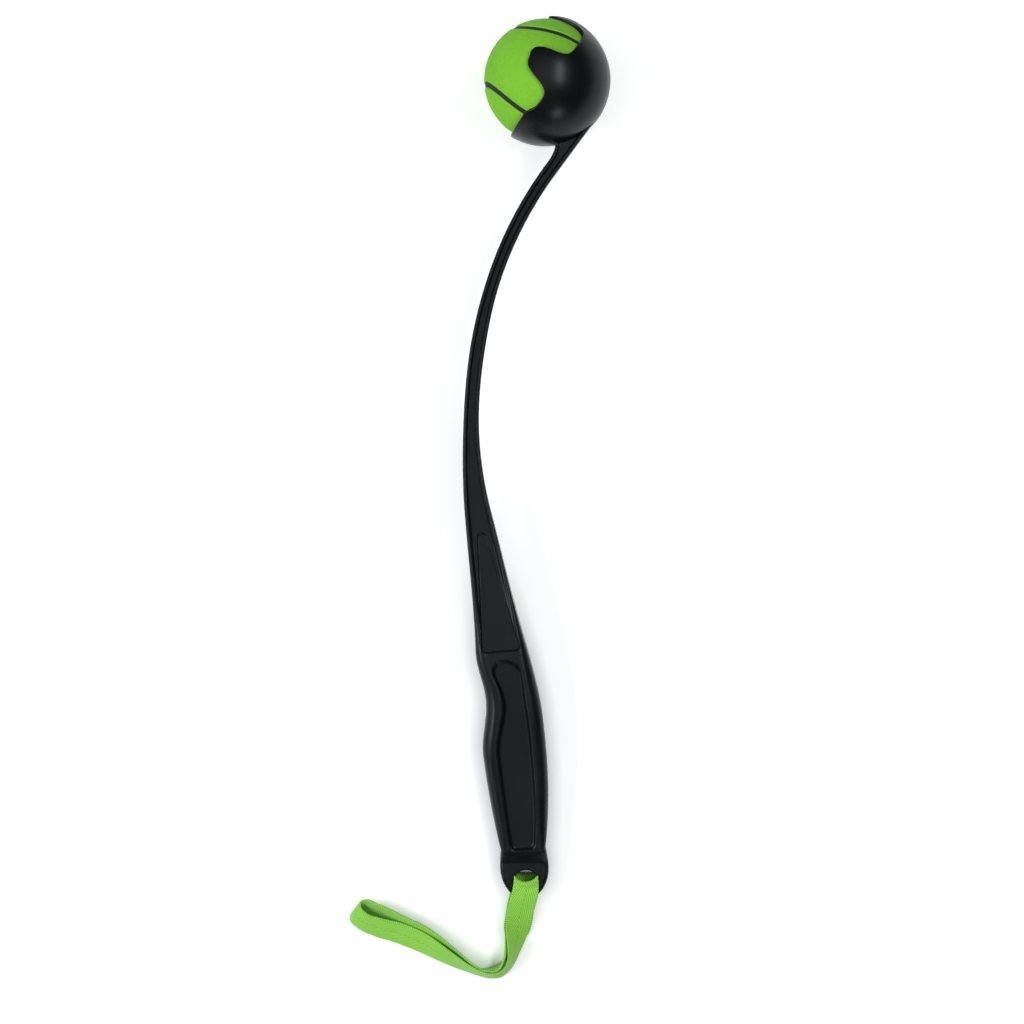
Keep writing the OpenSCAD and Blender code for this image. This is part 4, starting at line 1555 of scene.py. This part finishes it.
@dataclass
class FeltBall:
    """Hollow rubber ball with two felt panels that meet in one winding seam.

    Sizes are in metres and degrees.
    """

    laid: Matrix
    radius: float = 0.0325
    felt_t: float = 0.003
    seam_w: float = 0.0027
    glue_gap: float = 0.0001
    seam_b: float = 0.24
    turn: tuple[float, float, float] = (106.0, -43.0, 52.0)
    pillow: float = 0.0008
    foot_lift: float = 0.0006
    fuzz: float = 0.0001
    fuzz_clear: float = 0.0007
    tuft_spots: float = 900.0
    nap_spots: float = 2300.0
    nap_share: float = 0.6
    seam_step: float = 0.0087
    steps: int = 288
    face_rows: int = 46
    back_rows: int = 12
    edge_steps: int = 7

    def seam_point(self, t: float) -> Vector:
        """Finds a point of the seam line on a ball of radius 1.

        Args:
            t: Place along the seam, from 0 to a full turn in radians.

        Returns:
            The point.
        """
        a, b = 1 - self.seam_b, self.seam_b
        return Vector((
            a * math.cos(t) + b * math.cos(3 * t),
            a * math.sin(t) - b * math.sin(3 * t),
            2 * math.sqrt(a * b) * math.sin(2 * t),
        ))

    def seam_side(self, t: float, shift: float) -> Vector:
        """Finds a line that keeps a distance from the seam.

        Args:
            t: Place along the seam in radians.
            shift: The distance.

        Returns:
            The direction of the line's point from the centre of the ball.
        """
        p = self.seam_point(t)
        along = self.seam_point(t + self.seam_step) - self.seam_point(t - self.seam_step)
        return (p + p.cross(along).normalized() * shift / self.radius).normalized()

    def edge_profile(self, foot: float) -> list[tuple[float, float, float]]:
        """Draws the plump edge of a panel, from its face down to its foot.

        Args:
            foot: Radius of the panel's inner face.

        Returns:
            Distance from the seam, radius and painted seam shade of each point.
        """
        inset, round_r, n = self.seam_w / 2 + self.glue_gap, self.pillow, self.edge_steps
        edge = []
        for k in range(n + 1):
            c = math.pi / 2 * k / n
            out, fall = round_r * (1 - math.sin(c)), round_r * (1 - math.cos(c))
            # The third value is painted shade: none on the panel's face, full where its edge rolls down into
            # the seam.
            edge.append((inset + out, self.radius - fall, k / n))
        return [*edge, (inset, foot + self.foot_lift, 1.0), (inset, foot, 1.0)]

    def fan(self, way: Vector, r: float, rows: int) -> list[tuple[Vector, float, float]]:
        """Rows from the panel's middle up to, and without, a direction on its edge."""
        arc, turn = math.acos(way.z), math.atan2(way.y, way.x)
        return [(on_sphere(arc * k / rows, turn), r, 0.0) for k in range(rows)]

    def build_panel(self, name: str, node: str, flip: float, finish: bpy.types.Material) -> bpy.types.Object:
        """Builds and dresses one felt panel, plump at its edge.

        Args:
            name: Name of the piece.
            node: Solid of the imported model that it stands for.
            flip: Turn of the panel about the ball's own X axis, in degrees.
            finish: Its felt.

        Returns:
            The piece.
        """
        foot = self.radius - self.felt_t + self.glue_gap
        profile = self.edge_profile(foot)
        place = self.laid @ Euler([math.radians(a) for a in self.turn], "XYZ").to_matrix().to_4x4()
        place = place @ Matrix.Rotation(math.radians(flip), 4, "X")
        rings, wear_and_seam_shade = [], []
        for i in range(self.steps + 1):
            t = 2 * math.pi * (i % self.steps) / self.steps
            edge = [(self.seam_side(t, s), r, w) for s, r, w in profile]
            face = self.fan(edge[0][0], self.radius, self.face_rows)
            back = self.fan(edge[-1][0], foot, self.back_rows)
            column, points = [*face, *edge, *reversed(back)], []
            for way, r, _ in column:
                p = place @ (way * r)
                if r > foot + self.fuzz_clear:
                    nap = noise.noise(p * self.tuft_spots) + self.nap_share * noise.noise(p * self.nap_spots)
                    p += (place.to_3x3() @ way) * self.fuzz * nap
                points.append(p)
            rings.append(points)
            wear_and_seam_shade.append([w for _, _, w in column])
        bm = skin(np.array(rings).transpose(1, 0, 2), wear_and_seam_shade=np.array(wear_and_seam_shade).T, caps=False)
        return seat(as_object(bm, name, 70), Body.BALL, finish, node)

    def dress(self, node: str, finish: bpy.types.Material) -> None:
        """Gives a solid that stays its finish.

        Args:
            node: The solid's name.
            finish: The finish.
        """
        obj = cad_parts[node]
        obj.data.materials.clear()
        obj.data.materials.append(finish)
        LOG.info("%s: keeps its solid", node)

    def build(self, felt: NappedFelt, cement: SeamCement, rubber: BallRubber) -> list[bpy.types.Object]:
        """Builds and dresses the ball.

        Args:
            felt: Finish of the panels.
            cement: Finish of the seam, whose solid stays.
            rubber: Finish of the core's halves, whose solids stay.

        Returns:
            The new pieces.
        """
        cover = felt.material()
        self.dress("ball_seam", cement.material())
        core = rubber.material()
        for node in ("ball_core_half_a", "ball_core_half_b"):
            self.dress(node, core)
        return [
            self.build_panel("felt_cover_a", "felt_panel_a", 0, cover),
            self.build_panel("felt_cover_b", "felt_panel_b", 180, cover),
        ]


def main() -> None:
    """Builds the studio, the strap, the stick and the ball."""
    logging.basicConfig(level=logging.INFO, format="%(name)s: %(message)s")
    Studio().build()
    stick = LauncherStick()
    eye = stick.laid @ stick.eye
    strap = WristStrap(Vector((eye.x, eye.y, 0)))
    tape, line = strap.build(TwillTape())
    thread = strap.build_stitches(SewingThread())
    stick.build(MouldedPlastic())
    FeltBall(stick.laid).build(NappedFelt(), SeamCement(), BallRubber())


if __name__ == "__main__":
    main()
